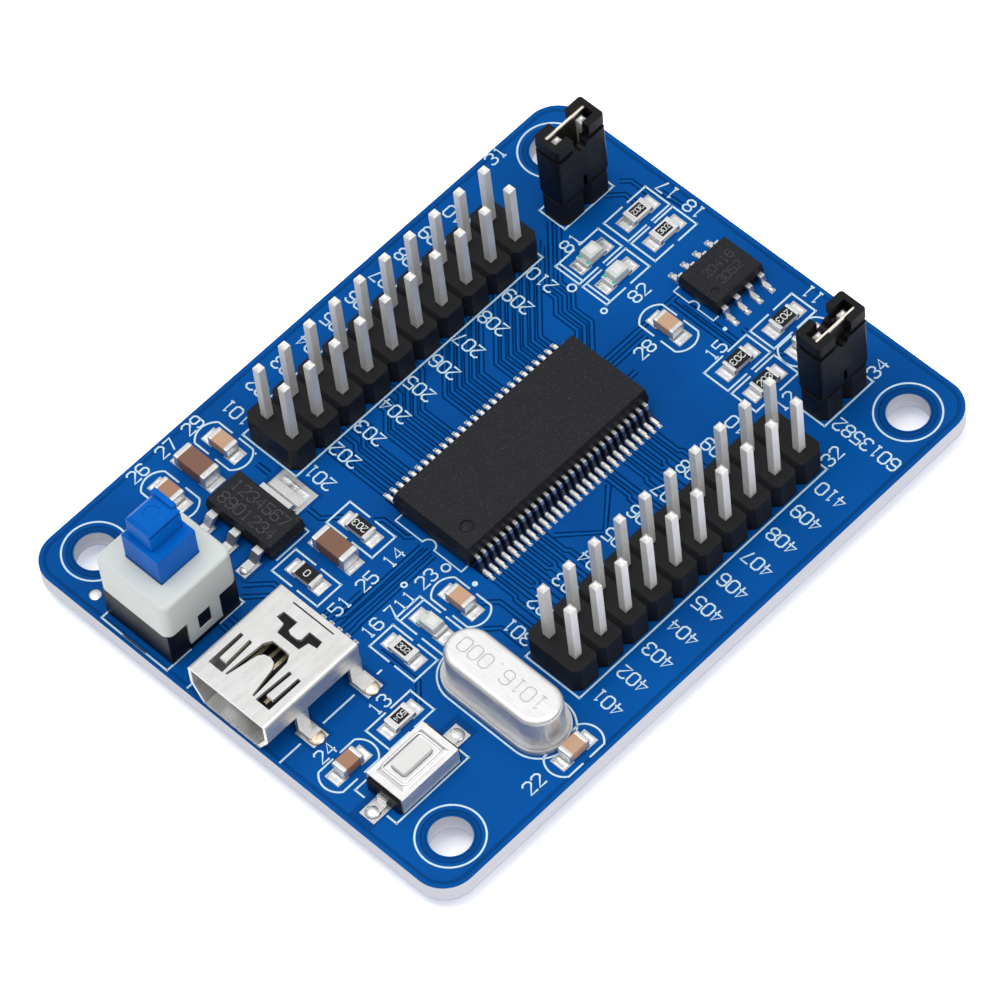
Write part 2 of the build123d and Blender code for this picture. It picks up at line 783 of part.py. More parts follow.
with BuildPart() as switch_latch_wire:
    with BuildSketch(Plane(origin=(latch_x, switch_y, top + latch_wire_pivot), z_dir=(1, 0, 0))):
        Circle(latch_wire_radius)
    extrude(amount=latch_wire_reach)
    with BuildSketch(Plane(origin=(latch_x, switch_y, top + latch_wire_pivot))):
        Circle(latch_wire_radius)
    extrude(amount=latch_wire_top - latch_wire_pivot)
    with BuildSketch(Plane(origin=(latch_x, switch_y, top + latch_wire_top), z_dir=(-1, 0, 0))):
        Circle(latch_wire_radius)
    extrude(amount=latch_wire_hook)
    for height in (latch_wire_pivot, latch_wire_top):
        with Locations((latch_x, switch_y, top + height)):
            Sphere(latch_wire_radius)
switch_latch_wire.part.label = "switch_latch_wire"
export_step(switch_latch_wire.part, "parts/switch_latch_wire.step")


# ================================================================ lead shapes and moulded packages
def gull_lead(plane, body_half, tip, foot, sheet, exit_height, width):
    """One bent lead in the section plane: out of the body, down, and flat on its pad."""
    knee = body_half + sheet
    heel = tip - foot
    with BuildSketch(plane) as section:
        with BuildLine():
            Polyline(
                (body_half, exit_height),
                (knee, exit_height),
                (heel - sheet / 2, 0),
                (tip, 0),
                (tip, sheet),
                (heel + sheet / 2, sheet),
                (knee + sheet, exit_height + sheet),
                (body_half, exit_height + sheet),
                close=True,
            )
        make_face()
    extrude(section.sketch, amount=width / 2, both=True)


def drafted_body(centre, size, lift, height, draft):
    """Moulded body, widest at the parting line half way up."""
    parting = lift + height / 2
    for direction in (-1, 1):
        with BuildSketch(plane_at(centre, parting)) as outline:
            Rectangle(*size)
        extrude(outline.sketch, amount=direction * height / 2, taper=draft)


def make_chip_package(name, centre, size, lift, height, dimple, dimple_radius):
    """Moulded chip body with a round pin-one dimple."""
    with BuildPart() as body:
        drafted_body(centre, size, lift, height, package_draft)
        dimple_centre = (centre[0] + dimple[0], centre[1] + dimple[1])
        with BuildSketch(plane_at(dimple_centre, lift + height)):
            Circle(dimple_radius)
        extrude(amount=-dimple_depth, mode=Mode.SUBTRACT)
    body.part.label = name
    export_step(body.part, f"parts/{name}.step")


def make_chip_leads(name, centre, body_width, exit_height, span, foot, sheet, width, pitch, count):
    """Two rows of bent leads, one separate solid each."""
    with BuildPart() as leads:
        for side in (-1, 1):
            for index in range(count):
                x = centre[0] + (index - (count - 1) / 2) * pitch
                section = Plane(origin=(x, centre[1], top), x_dir=(0, side, 0), z_dir=(side, 0, 0))
                gull_lead(section, body_width / 2, span / 2, foot, sheet, exit_height, width)
    leads.part.label = name
    export_step(leads.part, f"parts/{name}.step")


make_chip_package(
    "controller_body",
    controller_centre,
    controller_size,
    controller_lift,
    controller_height,
    controller_dimple,
    controller_dimple_radius,
)
make_chip_leads(
    "controller_leads",
    controller_centre,
    controller_size[1],
    controller_lift + controller_height / 2 - controller_lead_sheet / 2,
    controller_lead_span,
    controller_foot,
    controller_lead_sheet,
    controller_lead_width,
    controller_lead_pitch,
    controller_lead_count,
)
make_chip_package(
    "memory_body", memory_centre, memory_size, memory_lift, memory_height, memory_dimple, memory_dimple_radius
)
make_chip_leads(
    "memory_leads",
    memory_centre,
    memory_size[1],
    memory_lift + memory_height / 2 - memory_lead_sheet / 2,
    memory_lead_span,
    memory_foot,
    memory_lead_sheet,
    memory_lead_width,
    memory_lead_pitch,
    memory_lead_count,
)

# ================================================================ regulator
with BuildPart() as regulator_body:
    drafted_body(
        regulator_centre, regulator_body_size, regulator_lift, regulator_body_height, regulator_draft
    )
regulator_body.part.label = "regulator_body"
export_step(regulator_body.part, "parts/regulator_body.step")

regulator_exit = regulator_lift + regulator_body_height / 2 - regulator_sheet / 2

with BuildPart() as regulator_legs:
    for step in (-1, 0, 1):
        y = regulator_centre[1] + step * regulator_leg_pitch
        leg_section = Plane(origin=(regulator_centre[0], y, top), x_dir=(-1, 0, 0), z_dir=(0, 1, 0))
        gull_lead(
            leg_section,
            regulator_body_size[0] / 2,
            regulator_reach,
            regulator_foot,
            regulator_sheet,
            regulator_exit,
            regulator_leg_width,
        )
regulator_legs.part.label = "regulator_legs"
export_step(regulator_legs.part, "parts/regulator_legs.step")

with BuildPart() as regulator_tab:
    tab_section = Plane(
        origin=(regulator_centre[0], regulator_centre[1], top), x_dir=(1, 0, 0), z_dir=(0, -1, 0)
    )
    gull_lead(
        tab_section,
        regulator_body_size[0] / 2,
        regulator_reach,
        regulator_foot,
        regulator_sheet,
        regulator_exit,
        regulator_tab_width,
    )
regulator_tab.part.label = "regulator_tab"
export_step(regulator_tab.part, "parts/regulator_tab.step")


# ================================================================ quartz crystal
def crystal_oval(height, size):
    """Sketch of the crystal's long oval at a height above the board."""
    with BuildSketch(plane_at(crystal_centre, height, along_y)) as oval:
        SlotOverall(size[1], size[0])
    return oval.sketch


with BuildPart() as crystal_base:
    extrude(crystal_oval(0, crystal_base_size), amount=crystal_base_thickness)
    extrude(crystal_oval(crystal_base_thickness, crystal_seal_size), amount=crystal_seal_height)
    with BuildSketch(plane_at((0, 0), 0)):
        with Locations(*crystal_lead_places):
            Circle(crystal_lead_radius + moulded_gap)
    extrude(amount=crystal_can_top, mode=Mode.SUBTRACT)
crystal_base.part.label = "crystal_base"
export_step(crystal_base.part, "parts/crystal_base.step")

with BuildPart() as crystal_can:
    can_oval = crystal_oval(crystal_base_thickness, crystal_can_size)
    extrude(can_oval, amount=crystal_can_top - crystal_base_thickness)
    fillet(crystal_can.faces().sort_by(Axis.Z)[-1].edges(), crystal_can_edge)
    rim_oval = crystal_oval(crystal_base_thickness, crystal_rim_size)
    extrude(rim_oval, amount=crystal_rim_thickness)
    double_wall = 2 * crystal_can_wall
    hollow_size = (crystal_can_size[0] - double_wall, crystal_can_size[1] - double_wall)
    hollow = crystal_can_top - crystal_base_thickness - crystal_can_wall
    hollow_oval = crystal_oval(crystal_base_thickness, hollow_size)
    extrude(hollow_oval, amount=hollow, mode=Mode.SUBTRACT)
crystal_can.part.label = "crystal_can"
export_step(crystal_can.part, "parts/crystal_can.step")

blank_half = crystal_blank_size[1] / 2

with BuildPart() as crystal_leads:
    with BuildSketch(Plane.XY.offset(-pin_tail)):
        with Locations(*crystal_lead_places):
            Circle(crystal_lead_radius)
    extrude(amount=pin_tail + top + crystal_lead_top)
    for side in (-1, 1):
        arm_start = side * (crystal_lead_spacing / 2 - crystal_lead_radius)
        arm_end = side * (blank_half + crystal_clip_sheet)
        arm = sorted((crystal_centre[1] + arm_start, crystal_centre[1] + arm_end))
        clip = sorted((crystal_centre[1] + side * blank_half, crystal_centre[1] + arm_end))
        low_x = crystal_centre[0] - crystal_clip_width / 2
        high_x = low_x + crystal_clip_width
        arm_low = top + crystal_lead_top - crystal_clip_sheet
        block((low_x, arm[0], arm_low), (high_x, arm[1], top + crystal_lead_top))
        block((low_x, clip[0], arm_low), (high_x, clip[1], top + crystal_clip_top))
crystal_leads.part.label = "crystal_leads"
export_step(crystal_leads.part, "parts/crystal_leads.step")

with BuildPart() as crystal_blank:
    with BuildSketch(plane_at(crystal_centre, crystal_blank_height)):
        Rectangle(*crystal_blank_size)
    extrude(amount=crystal_blank_thickness)
crystal_blank.part.label = "crystal_blank"
export_step(crystal_blank.part, "parts/crystal_blank.step")

# ================================================================ reset button
reset_x, reset_y = reset_centre
blade_high = reset_floor + reset_lead_blade
dome_foot = blade_high + wiping_gap
reset_flange_low = dome_foot + reset_dome_rise + wiping_gap
reset_flange_top = reset_cover_top + reset_plateau_rise - reset_cover_sheet - guide_gap


def reset_lead_boxes(side, gap, mode):
    """Outer foot, riser and inner blade of one of the reset button's leads."""
    base_end = reset_base_size[0] / 2
    low_y = reset_y - reset_lead_width / 2 - gap
    high_y = reset_y + reset_lead_width / 2 + gap
    foot = sorted((reset_x + side * base_end, reset_x + side * reset_lead_reach))
    riser = sorted((reset_x + side * base_end, reset_x + side * (base_end + reset_lead_sheet)))
    blade = sorted((reset_x + side * reset_lead_inner, reset_x + side * (base_end + reset_lead_sheet)))
    block((foot[0], low_y, top), (foot[1], high_y, top + reset_lead_sheet), mode=mode)
    block((riser[0], low_y, top), (riser[1], high_y, top + blade_high), mode=mode)
    block((blade[0], low_y, top + reset_floor), (blade[1], high_y, top + blade_high + gap), mode=mode)


with BuildPart() as reset_base:
    with BuildSketch(plane_at(reset_centre, 0)):
        Rectangle(*reset_base_size)
    extrude(amount=reset_base_height)
    with BuildSketch(plane_at(reset_centre, reset_floor)):
        Rectangle(*reset_cavity_size)
    extrude(amount=reset_base_height, mode=Mode.SUBTRACT)
    for side in (-1, 1):
        reset_lead_boxes(side, moulded_gap, Mode.SUBTRACT)
reset_base.part.label = "reset_base"
export_step(reset_base.part, "parts/reset_base.step")

with BuildPart() as reset_leads:
    for side in (-1, 1):
        reset_lead_boxes(side, 0, Mode.ADD)
reset_leads.part.label = "reset_leads"
export_step(reset_leads.part, "parts/reset_leads.step")

plateau_angle = math.degrees(math.atan(reset_plateau_slope / reset_plateau_rise))

with BuildPart() as reset_cover:
    with BuildSketch(plane_at(reset_centre, reset_skirt_foot)):
        Rectangle(*reset_cover_size)
    extrude(amount=reset_cover_top - reset_skirt_foot)
    with BuildSketch(plane_at(reset_centre, reset_cover_top)):
        Rectangle(*reset_plateau_size)
    extrude(amount=reset_plateau_rise, taper=plateau_angle)
    with BuildSketch(plane_at(reset_centre, 0)):
        Rectangle(reset_base_size[0], reset_cover_size[1] - 2 * reset_cover_sheet)
    extrude(amount=reset_cover_top - reset_cover_sheet, mode=Mode.SUBTRACT)
    with BuildSketch(plane_at(reset_centre, reset_cover_top - reset_cover_sheet)):
        Rectangle(*reset_plateau_size)
    extrude(amount=reset_plateau_rise, taper=plateau_angle, mode=Mode.SUBTRACT)
    with BuildSketch(plane_at(reset_centre, 0)):
        guide = 2 * guide_gap
        RectangleRounded(
            reset_button_size[0] + guide, reset_button_size[1] + guide, reset_button_corner + guide_gap
        )
    extrude(amount=reset_button_top, mode=Mode.SUBTRACT)
reset_cover.part.label = "reset_cover"
export_step(reset_cover.part, "parts/reset_cover.step")

with BuildPart() as reset_button:
    with BuildSketch(plane_at(reset_centre, reset_flange_low)):
        Rectangle(*reset_flange_size)
    extrude(amount=reset_flange_top - reset_flange_low)
    with BuildSketch(plane_at(reset_centre, reset_flange_low)):
        RectangleRounded(*reset_button_size, reset_button_corner)
    extrude(amount=reset_button_top - reset_flange_low)
    crown = reset_button.faces().sort_by(Axis.Z)[-1].edges()
    fillet(crown, guide_gap)
reset_button.part.label = "reset_button"
export_step(reset_button.part, "parts/reset_button.step")

dome_sphere = (reset_dome_radius ** 2 + reset_dome_rise ** 2) / (2 * reset_dome_rise)

dome_section = Plane(
    origin=(reset_x, reset_y, top + dome_foot), x_dir=(1, 0, 0), z_dir=(0, -1, 0)
)

with BuildPart() as reset_dome:
    with BuildSketch(dome_section):
        with BuildLine():
            inner_sphere = dome_sphere - reset_dome_sheet
            drop = dome_sphere - reset_dome_rise
            inner_rise = inner_sphere - drop
            inner_edge = math.sqrt(inner_sphere ** 2 - drop ** 2)
            outer_angle = math.asin(reset_dome_radius / dome_sphere) / 2
            inner_angle = math.asin(inner_edge / inner_sphere) / 2
            outer_mid = (dome_sphere * math.sin(outer_angle), dome_sphere * math.cos(outer_angle) - drop)
            inner_mid = (inner_sphere * math.sin(inner_angle), inner_sphere * math.cos(inner_angle) - drop)
            Line((0, inner_rise), (0, reset_dome_rise))
            ThreePointArc((0, reset_dome_rise), outer_mid, (reset_dome_radius, 0))
            Line((reset_dome_radius, 0), (inner_edge, 0))
            ThreePointArc((inner_edge, 0), inner_mid, (0, inner_rise))
        make_face()
    revolve(axis=Axis((reset_x, reset_y, 0), (0, 0, 1)))
reset_dome.part.label = "reset_dome"
export_step(reset_dome.part, "parts/reset_dome.step")


# ================================================================ chip parts
def make_chip_part(name, place, size, height):
    """Bonded block with plated end caps that stand slightly proud, as one solid."""
    x, y, turn = place
    with BuildPart() as chip:
        with BuildSketch(plane_at((x, y), chip_lift, turn)):
            Rectangle(size[0] - 2 * end_cap_plating, size[1] - 2 * end_cap_plating)
        extrude(amount=height - end_cap_plating)
        with BuildSketch(plane_at((x, y), chip_lift - end_cap_plating, turn)):
            with GridLocations(size[0] - end_cap_length, 0, 2, 1):
                Rectangle(end_cap_length, size[1])
        extrude(amount=height + end_cap_plating)
    chip.part.label = name
    export_step(chip.part, f"parts/{name}.step")


def make_led(name, place):
    """Light emitting diode: a carrier plate with a drafted clear block moulded on it."""
    x, y, turn = place
    with BuildPart() as led:
        with BuildSketch(plane_at((x, y), chip_lift, turn)):
            Rectangle(*small_chip)
        extrude(amount=led_base_height)
        with BuildSketch(plane_at((x, y), chip_lift + led_base_height, turn)):
            Rectangle(led_lens_length, small_chip[1])
        extrude(amount=led_height - led_base_height, taper=led_lens_draft)
    led.part.label = name
    export_step(led.part, f"parts/{name}.step")


for name, place in resistor_places.items():
    make_chip_part(name, place, small_chip, resistor_height)
for name, place in small_capacitor_places.items():
    make_chip_part(name, place, small_chip, small_capacitor_height)
for name, place in large_capacitor_places.items():
    make_chip_part(name, place, large_chip, large_capacitor_height)
for name, place in led_places.items():
    make_led(name, place)

# ================================================================ solder under the board
with BuildPart() as through_hole_solder:
    with Locations(*[(x, y, -solder_height / 2) for x, y in all_pins + terminal_places + crystal_lead_places]):
        Cone(solder_head_radius, solder_foot_radius, solder_height)
    with BuildSketch(Plane.XY.offset(-solder_height)):
        with Locations(*all_pins):
            Rectangle(pin_side + 2 * solder_gap, pin_side + 2 * solder_gap)
        with Locations(*terminal_places):
            Rectangle(terminal_width + 2 * solder_gap, terminal_sheet + 2 * solder_gap)
        with Locations(*crystal_lead_places):
            Circle(crystal_lead_radius + solder_gap)
    extrude(amount=solder_height, mode=Mode.SUBTRACT)
through_hole_solder.part.label = "through_hole_solder"
export_step(through_hole_solder.part, "parts/through_hole_solder.step")
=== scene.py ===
import math
import random

import bpy
from mathutils import Matrix, Vector


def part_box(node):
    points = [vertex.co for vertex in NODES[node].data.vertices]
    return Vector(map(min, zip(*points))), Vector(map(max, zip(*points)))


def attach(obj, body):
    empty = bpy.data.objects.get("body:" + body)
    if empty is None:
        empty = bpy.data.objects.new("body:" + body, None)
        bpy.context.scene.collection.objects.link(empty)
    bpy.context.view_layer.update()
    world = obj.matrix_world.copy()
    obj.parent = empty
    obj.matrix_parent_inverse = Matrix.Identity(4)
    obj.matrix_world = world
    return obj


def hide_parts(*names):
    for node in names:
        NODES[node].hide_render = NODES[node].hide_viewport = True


bl_info = {
    "name": "Development Board Looks",
    "version": (1, 0, 0),
    "blender": (4, 5, 0),
    "location": "View3D > Sidebar > Dev Board",
    "description": "Finishes, ink, tracks, solder and chip parts for a packed development board",
    "category": "Object",
}

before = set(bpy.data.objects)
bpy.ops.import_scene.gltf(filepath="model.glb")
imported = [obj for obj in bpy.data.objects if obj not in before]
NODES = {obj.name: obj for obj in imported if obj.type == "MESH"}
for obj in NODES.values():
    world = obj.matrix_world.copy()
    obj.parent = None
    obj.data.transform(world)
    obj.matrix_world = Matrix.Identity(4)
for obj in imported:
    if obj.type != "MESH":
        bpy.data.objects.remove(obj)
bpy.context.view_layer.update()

MM = 0.001
BOARD = "board"
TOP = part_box("circuit_board")[1].z / MM      # board surface, millimetres
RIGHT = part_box("circuit_board")[1].x / MM
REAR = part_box("circuit_board")[1].y / MM
RESTING_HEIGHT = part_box("header_a_pins")[0].z

# ---------------------------------------------------------------- layout, millimetres
ALONG_X = 0
ALONG_Y = 90
LAYER_GAP = 0.006
FILM = 0.008                 # thickness of the thinnest layers
MARK_LAYER = 0.02            # height of the ink over the board
CHIP_LIFT = 0.03             # solder under a chip part
SMALL_CHIP = (2.0, 1.25)
LARGE_CHIP = (3.2, 1.6)
HOLE_CENTRES = [(x, y) for x in (-23.35, 23.35) for y in (-17.65, 17.65)]
HEADER_PITCH = 2.54
HEADER_START_X = -8.03
CONTROLLER_X = 2.25
CONTROLLER_Y = 0.15
CONTROLLER_PITCH = 0.635
CONTROLLER_SIDE_LEADS = 28
MEMORY_X = 22.86
MEMORY_Y = 0.05
MEMORY_PITCH = 1.27
SOCKET_Y = -0.03
SOCKET_TABS_X = (-23.87, -18.48)
SOCKET_CONTACT_PITCH = 0.8
REGULATOR_Y = 10.8
REGULATOR_PITCH = 2.3
LARGE_CAPACITORS = ("capacitor_5", "capacitor_7")

# Vector digits on a grid four wide and six high.
DIGITS = {
    "0": [[(0, 1), (0, 5), (1, 6), (3, 6), (4, 5), (4, 1), (3, 0), (1, 0), (0, 1)]],
    "1": [[(1, 5), (2, 6), (2, 0)], [(1, 0), (3, 0)]],
    "2": [[(0, 5), (1, 6), (3, 6), (4, 5), (4, 4), (0, 0), (4, 0)]],
    "3": [[(0, 5), (1, 6), (3, 6), (4, 5), (4, 4), (3, 3), (4, 2), (4, 1), (3, 0), (1, 0), (0, 1)],
          [(2, 3), (3, 3)]],
    "4": [[(3, 0), (3, 6), (0, 2), (4, 2)]],
    "5": [[(4, 6), (0, 6), (0, 3.5), (3, 3.5), (4, 2.5), (4, 1), (3, 0), (1, 0), (0, 1)]],
    "6": [[(4, 5), (3, 6), (1, 6), (0, 5), (0, 1), (1, 0), (3, 0), (4, 1), (4, 2.4), (3, 3.3), (0, 3.3)]],
    "7": [[(0, 6), (4, 6), (1.5, 0)]],
    "8": [[(1, 3), (0, 4), (0, 5), (1, 6), (3, 6), (4, 5), (4, 4), (3, 3), (1, 3)],
          [(1, 3), (0, 2), (0, 1), (1, 0), (3, 0), (4, 1), (4, 2), (3, 3)]],
    "9": [[(0, 1), (1, 0), (3, 0), (4, 1), (4, 5), (3, 6), (1, 6), (0, 5), (0, 3.6), (1, 2.7), (4, 2.7)]],
    ".": [[(1.7, 0), (2.3, 0)]],
}
GLYPH_WIDTH = 4
GLYPH_HEIGHT = 6
GLYPH_PITCH = 5.1

HEADER_COLUMNS = [HEADER_START_X + HEADER_PITCH * column for column in range(10)]
CONTROLLER_LEADS = [
    CONTROLLER_X + CONTROLLER_PITCH * (index - (CONTROLLER_SIDE_LEADS - 1) / 2)
    for index in range(CONTROLLER_SIDE_LEADS)
]


def centre_of(node):
    """Middle of a CAD node's footprint, millimetres."""
    low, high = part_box(node)
    return ((low.x + high.x) / 2 / MM, (low.y + high.y) / 2 / MM)


def turn_of(node):
    """Turn of a chip part's long side, degrees."""
    low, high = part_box(node)
    return ALONG_Y if high.y - low.y > high.x - low.x else ALONG_X


# ================================================================ mesh helpers
def start_clean():
    """Object mode with nothing selected."""
    if bpy.context.object and bpy.context.object.mode != "OBJECT":
        bpy.ops.object.mode_set(mode="OBJECT")
    bpy.ops.object.select_all(action="DESELECT")


def pick(objects):
    """Select exactly these objects and make the first one active."""
    start_clean()
    for item in objects:
        item.select_set(True)
    bpy.context.view_layer.objects.active = objects[0]


def settle(piece):
    """Put an object's place into its mesh."""
    pick([piece])
    bpy.ops.object.transform_apply(location=True, rotation=True, scale=True)


def round_edges(piece, width, segments=2):
    """Bevel every edge and apply it."""
    pick([piece])
    edges = piece.modifiers.new("Rounded edges", "BEVEL")
    edges.width = width * MM
    edges.segments = segments
    edges.limit_method = "ANGLE"
    bpy.ops.object.modifier_apply(modifier=edges.name)


def add_block(size, centre, bevel, finish, segments=2):
    """A rounded block, sizes and centre in millimetres."""
    start_clean()
    bpy.ops.mesh.primitive_cube_add(size=1)
    piece = bpy.context.object
    piece.scale = Vector(size) * MM
    piece.location = Vector(centre) * MM
    settle(piece)
    round_edges(piece, bevel, segments)
    piece.data.materials.append(finish)
    return piece


def narrow_top(piece, factor_x, factor_y):
    """Scale the highest faces of a block about its middle, as a mould's draft does."""
    pick([piece])
    highest = max(vertex.co.z for vertex in piece.data.vertices)
    bpy.ops.object.mode_set(mode="EDIT")
    bpy.ops.mesh.select_all(action="DESELECT")
    bpy.ops.object.mode_set(mode="OBJECT")
    for vertex in piece.data.vertices:
        vertex.select = vertex.co.z > highest - 0.1 * MM
    bpy.ops.object.mode_set(mode="EDIT")
    bpy.ops.transform.resize(value=(factor_x, factor_y, 1))
    bpy.ops.object.mode_set(mode="OBJECT")


def copy_to(template, placing):
    """A copy of a shape with its own mesh, moved by a matrix."""
    copy = template.copy()
    copy.data = template.data.copy()
    copy.data.transform(placing)
    bpy.context.scene.collection.objects.link(copy)
    return copy


def join(pieces, name):
    """Join pieces into one named object."""
    pick(pieces)
    if len(pieces) > 1:
        bpy.ops.object.join()
    whole = bpy.context.view_layer.objects.active
    whole.name = name
    whole.data.name = name
    return whole


def place_on(x, y, height=0.0, turn=0.0):
    """Matrix to a spot on the board, millimetres and degrees."""
    spot = Vector((x, y, TOP + height)) * MM
    return Matrix.Translation(spot) @ Matrix.Rotation(math.radians(turn), 4, "Z")


def stretch(x, y, z):
    """Scaling matrix."""
    return Matrix.Diagonal((x, y, z, 1))


def arc(x, y, radius, start, end, steps=16):
    """Points on an arc, degrees."""
    points = []
    for step in range(steps + 1):
        angle = math.radians(start + (end - start) * step / steps)
        points.append((x + radius * math.cos(angle), y + radius * math.sin(angle)))
    return points


def circle(x, y, radius, steps):
    """A closed ring of points."""
    return arc(x, y, radius, 0, 360, steps)


def rounded_box(x0, y0, x1, y1, corner, steps):
    """A closed line round a box with rounded corners."""
    line = []
    for x, y, start in (
        (x1 - corner, y1 - corner, 0), (x0 + corner, y1 - corner, 90),
        (x0 + corner, y0 + corner, 180), (x1 - corner, y0 + corner, 270),
    ):
        line += arc(x, y, corner, start, start + 90, steps)
    return line + line[:1]


def turned(points, x, y, turn):
    """Points turned about the origin and moved to a spot, degrees."""
    angle = math.radians(turn)
    cosine, sine = math.cos(angle), math.sin(angle)
    return [(x + u * cosine - v * sine, y + u * sine + v * cosine) for u, v in points]


def ribbons(name, strokes, width, thickness, height, finish, rounded=True):
    """Flat printed lines: each stroke is a list of points, millimetres, at a height over the board."""
    start_clean()
    curve = bpy.data.curves.new(name, "CURVE")
    curve.dimensions = "3D"
    curve.bevel_depth = width / 2 * MM
    curve.bevel_resolution = 1 if rounded else 0
    curve.use_fill_caps = True
    for stroke in strokes:
        spline = curve.splines.new("POLY")
        spline.points.add(len(stroke) - 1)
        for point, spot in zip(spline.points, stroke):
            point.co = (spot[0] * MM, spot[1] * MM, 0, 1)
    piece = bpy.data.objects.new(name, curve)
    bpy.context.scene.collection.objects.link(piece)
    pick([piece])
    bpy.ops.object.convert(target="MESH")
    piece = bpy.context.object
    piece.scale = (1, 1, thickness / width)
    piece.location.z = (TOP + height) * MM
    settle(piece)
    piece.data.materials.append(finish)
    return piece


def extended(points, amount):
    """One straight stroke, lengthened at both ends so that corners fill."""
    (x0, y0), (x1, y1) = points
    length = math.hypot(x1 - x0, y1 - y0)
    dx = (x1 - x0) / length * amount
    dy = (y1 - y0) / length * amount
    return [(x0 - dx, y0 - dy), (x1 + dx, y1 + dy)]


def outline(x0, y0, x1, y1, ink, gap=0.0, gap_along_y=False):
    """A printed box, with a gap in the middle of its two long sides if asked."""
    corners = [(x0, y0), (x1, y0), (x1, y1), (x0, y1), (x0, y0)]
    strokes = []
    for index in range(4):
        near, far = corners[index], corners[index + 1]
        vertical = near[0] == far[0]
        if gap and vertical == gap_along_y:
            middle = ((near[0] + far[0]) / 2, (near[1] + far[1]) / 2)
            reach = gap / 2 / math.hypot(far[0] - near[0], far[1] - near[1])
            step = ((far[0] - near[0]) * reach, (far[1] - near[1]) * reach)
            strokes.append(extended([near, (middle[0] - step[0], middle[1] - step[1])], ink / 2))
            strokes.append(extended([(middle[0] + step[0], middle[1] + step[1]), far], ink / 2))
        else:
            strokes.append(extended([near, far], ink / 2))
    return strokes


def rounded_outline(x, y, length, width, turn, gap):
    """A printed box with round ends and a gap in each long side."""
    bow = width * 0.62
    centre = length / 2 - bow
    reach = math.degrees(math.asin(min(1, width / 2 / bow)))
    shoulder = min(length / 2 - 0.72, centre + bow * math.cos(math.radians(reach)))
    half = [(gap / 2, width / 2), (shoulder, width / 2)]
    half += arc(centre, 0, bow, reach, -reach, 14)
    half += [(gap / 2, -width / 2)]
    return [turned(half, x, y, turn + end) for end in (0, 180)]


def number(text, x, y, height, turn=0):
    """Strokes of a plain number, centred on a spot."""
    scale = height / GLYPH_HEIGHT
    total = (len(text) - 1) * GLYPH_PITCH + GLYPH_WIDTH
    strokes = []
    for index, digit in enumerate(text):
        shift = index * GLYPH_PITCH
        for stroke in DIGITS[digit]:
            points = [
                ((u + shift - total / 2) * scale, (v - GLYPH_HEIGHT / 2) * scale) for u, v in stroke
            ]
            strokes.append(turned(points, x, y, turn))
    return strokes


def finish_piece(piece, replaces=None):
    """Ride on the board and stand for CAD nodes if named."""
    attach(piece, BOARD)
    if replaces:
        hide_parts(*replaces)


def chip_body(size, height, ceramic, cap_length, edge):
    """A chip part's body and its two plated ends, lying along X at the origin."""
    middle = CHIP_LIFT + (height - 0.02) / 2
    body = (size[0] - 0.08, size[1] - 0.05, height - 0.04)
    pieces = [add_block(body, (0, 0, middle), edge / 2, finish_named(ceramic))]
    for end in (-1, 1):
        cap_centre = (end * (size[0] - cap_length) / 2, 0, CHIP_LIFT + height / 2 - 0.01)
        cap = (cap_length, size[1], height)
        pieces.append(add_block(cap, cap_centre, edge, finish_named("cap end"), 3))
    return pieces


def lay_down(pieces, node, ending, turn):
    """Join pieces made at the origin and let them stand for a CAD node in its place."""
    x, y = centre_of(node)
    whole = join(pieces, node + ending)
    whole.data.transform(place_on(x, y, 0, turn))
    finish_piece(whole, replaces=[node])


def mark_top(node, name, strokes, width, thickness, finish):
    """Flat marks on the top of a CAD node."""
    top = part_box(node)[1].z / MM - TOP
    finish_piece(ribbons(name, strokes, width, thickness, top, finish_named(finish)))


# ================================================================ shader groups
def new_group(name, inputs, outputs):
    """An empty shader node group with named sockets."""
    group = bpy.data.node_groups.new(name, "ShaderNodeTree")
    for label, kind, value in inputs:
        socket = group.interface.new_socket(label, in_out="INPUT", socket_type=kind)
        if value is not None:
            socket.default_value = value
    for label, kind in outputs:
        group.interface.new_socket(label, in_out="OUTPUT", socket_type=kind)
    return group, group.nodes.new("NodeGroupInput"), group.nodes.new("NodeGroupOutput")


def sized_noise(group, given, detail):
    """Noise whose marks have the size that the group is given."""
    per_metre = group.nodes.new("ShaderNodeMath")
    per_metre.operation = "DIVIDE"
    per_metre.inputs[0].default_value = 1 / MM
    group.links.new(given.outputs["Size mm"], per_metre.inputs[1])
    noise = group.nodes.new("ShaderNodeTexNoise")
    noise.inputs["Detail"].default_value = detail
    group.links.new(given.outputs["Vector"], noise.inputs["Vector"])
    group.links.new(per_metre.outputs[0], noise.inputs["Scale"])
    return noise


def spread(group, given, noise, low, high):
    """Noise between two limits, spread from the group's Low to its High."""
    wide = group.nodes.new("ShaderNodeMapRange")
    wide.inputs["From Min"].default_value = low
    wide.inputs["From Max"].default_value = high
    group.links.new(noise.outputs["Fac"], wide.inputs["Value"])
    group.links.new(given.outputs["Low"], wide.inputs["To Min"])
    group.links.new(given.outputs["High"], wide.inputs["To Max"])
    return wide.outputs["Result"]


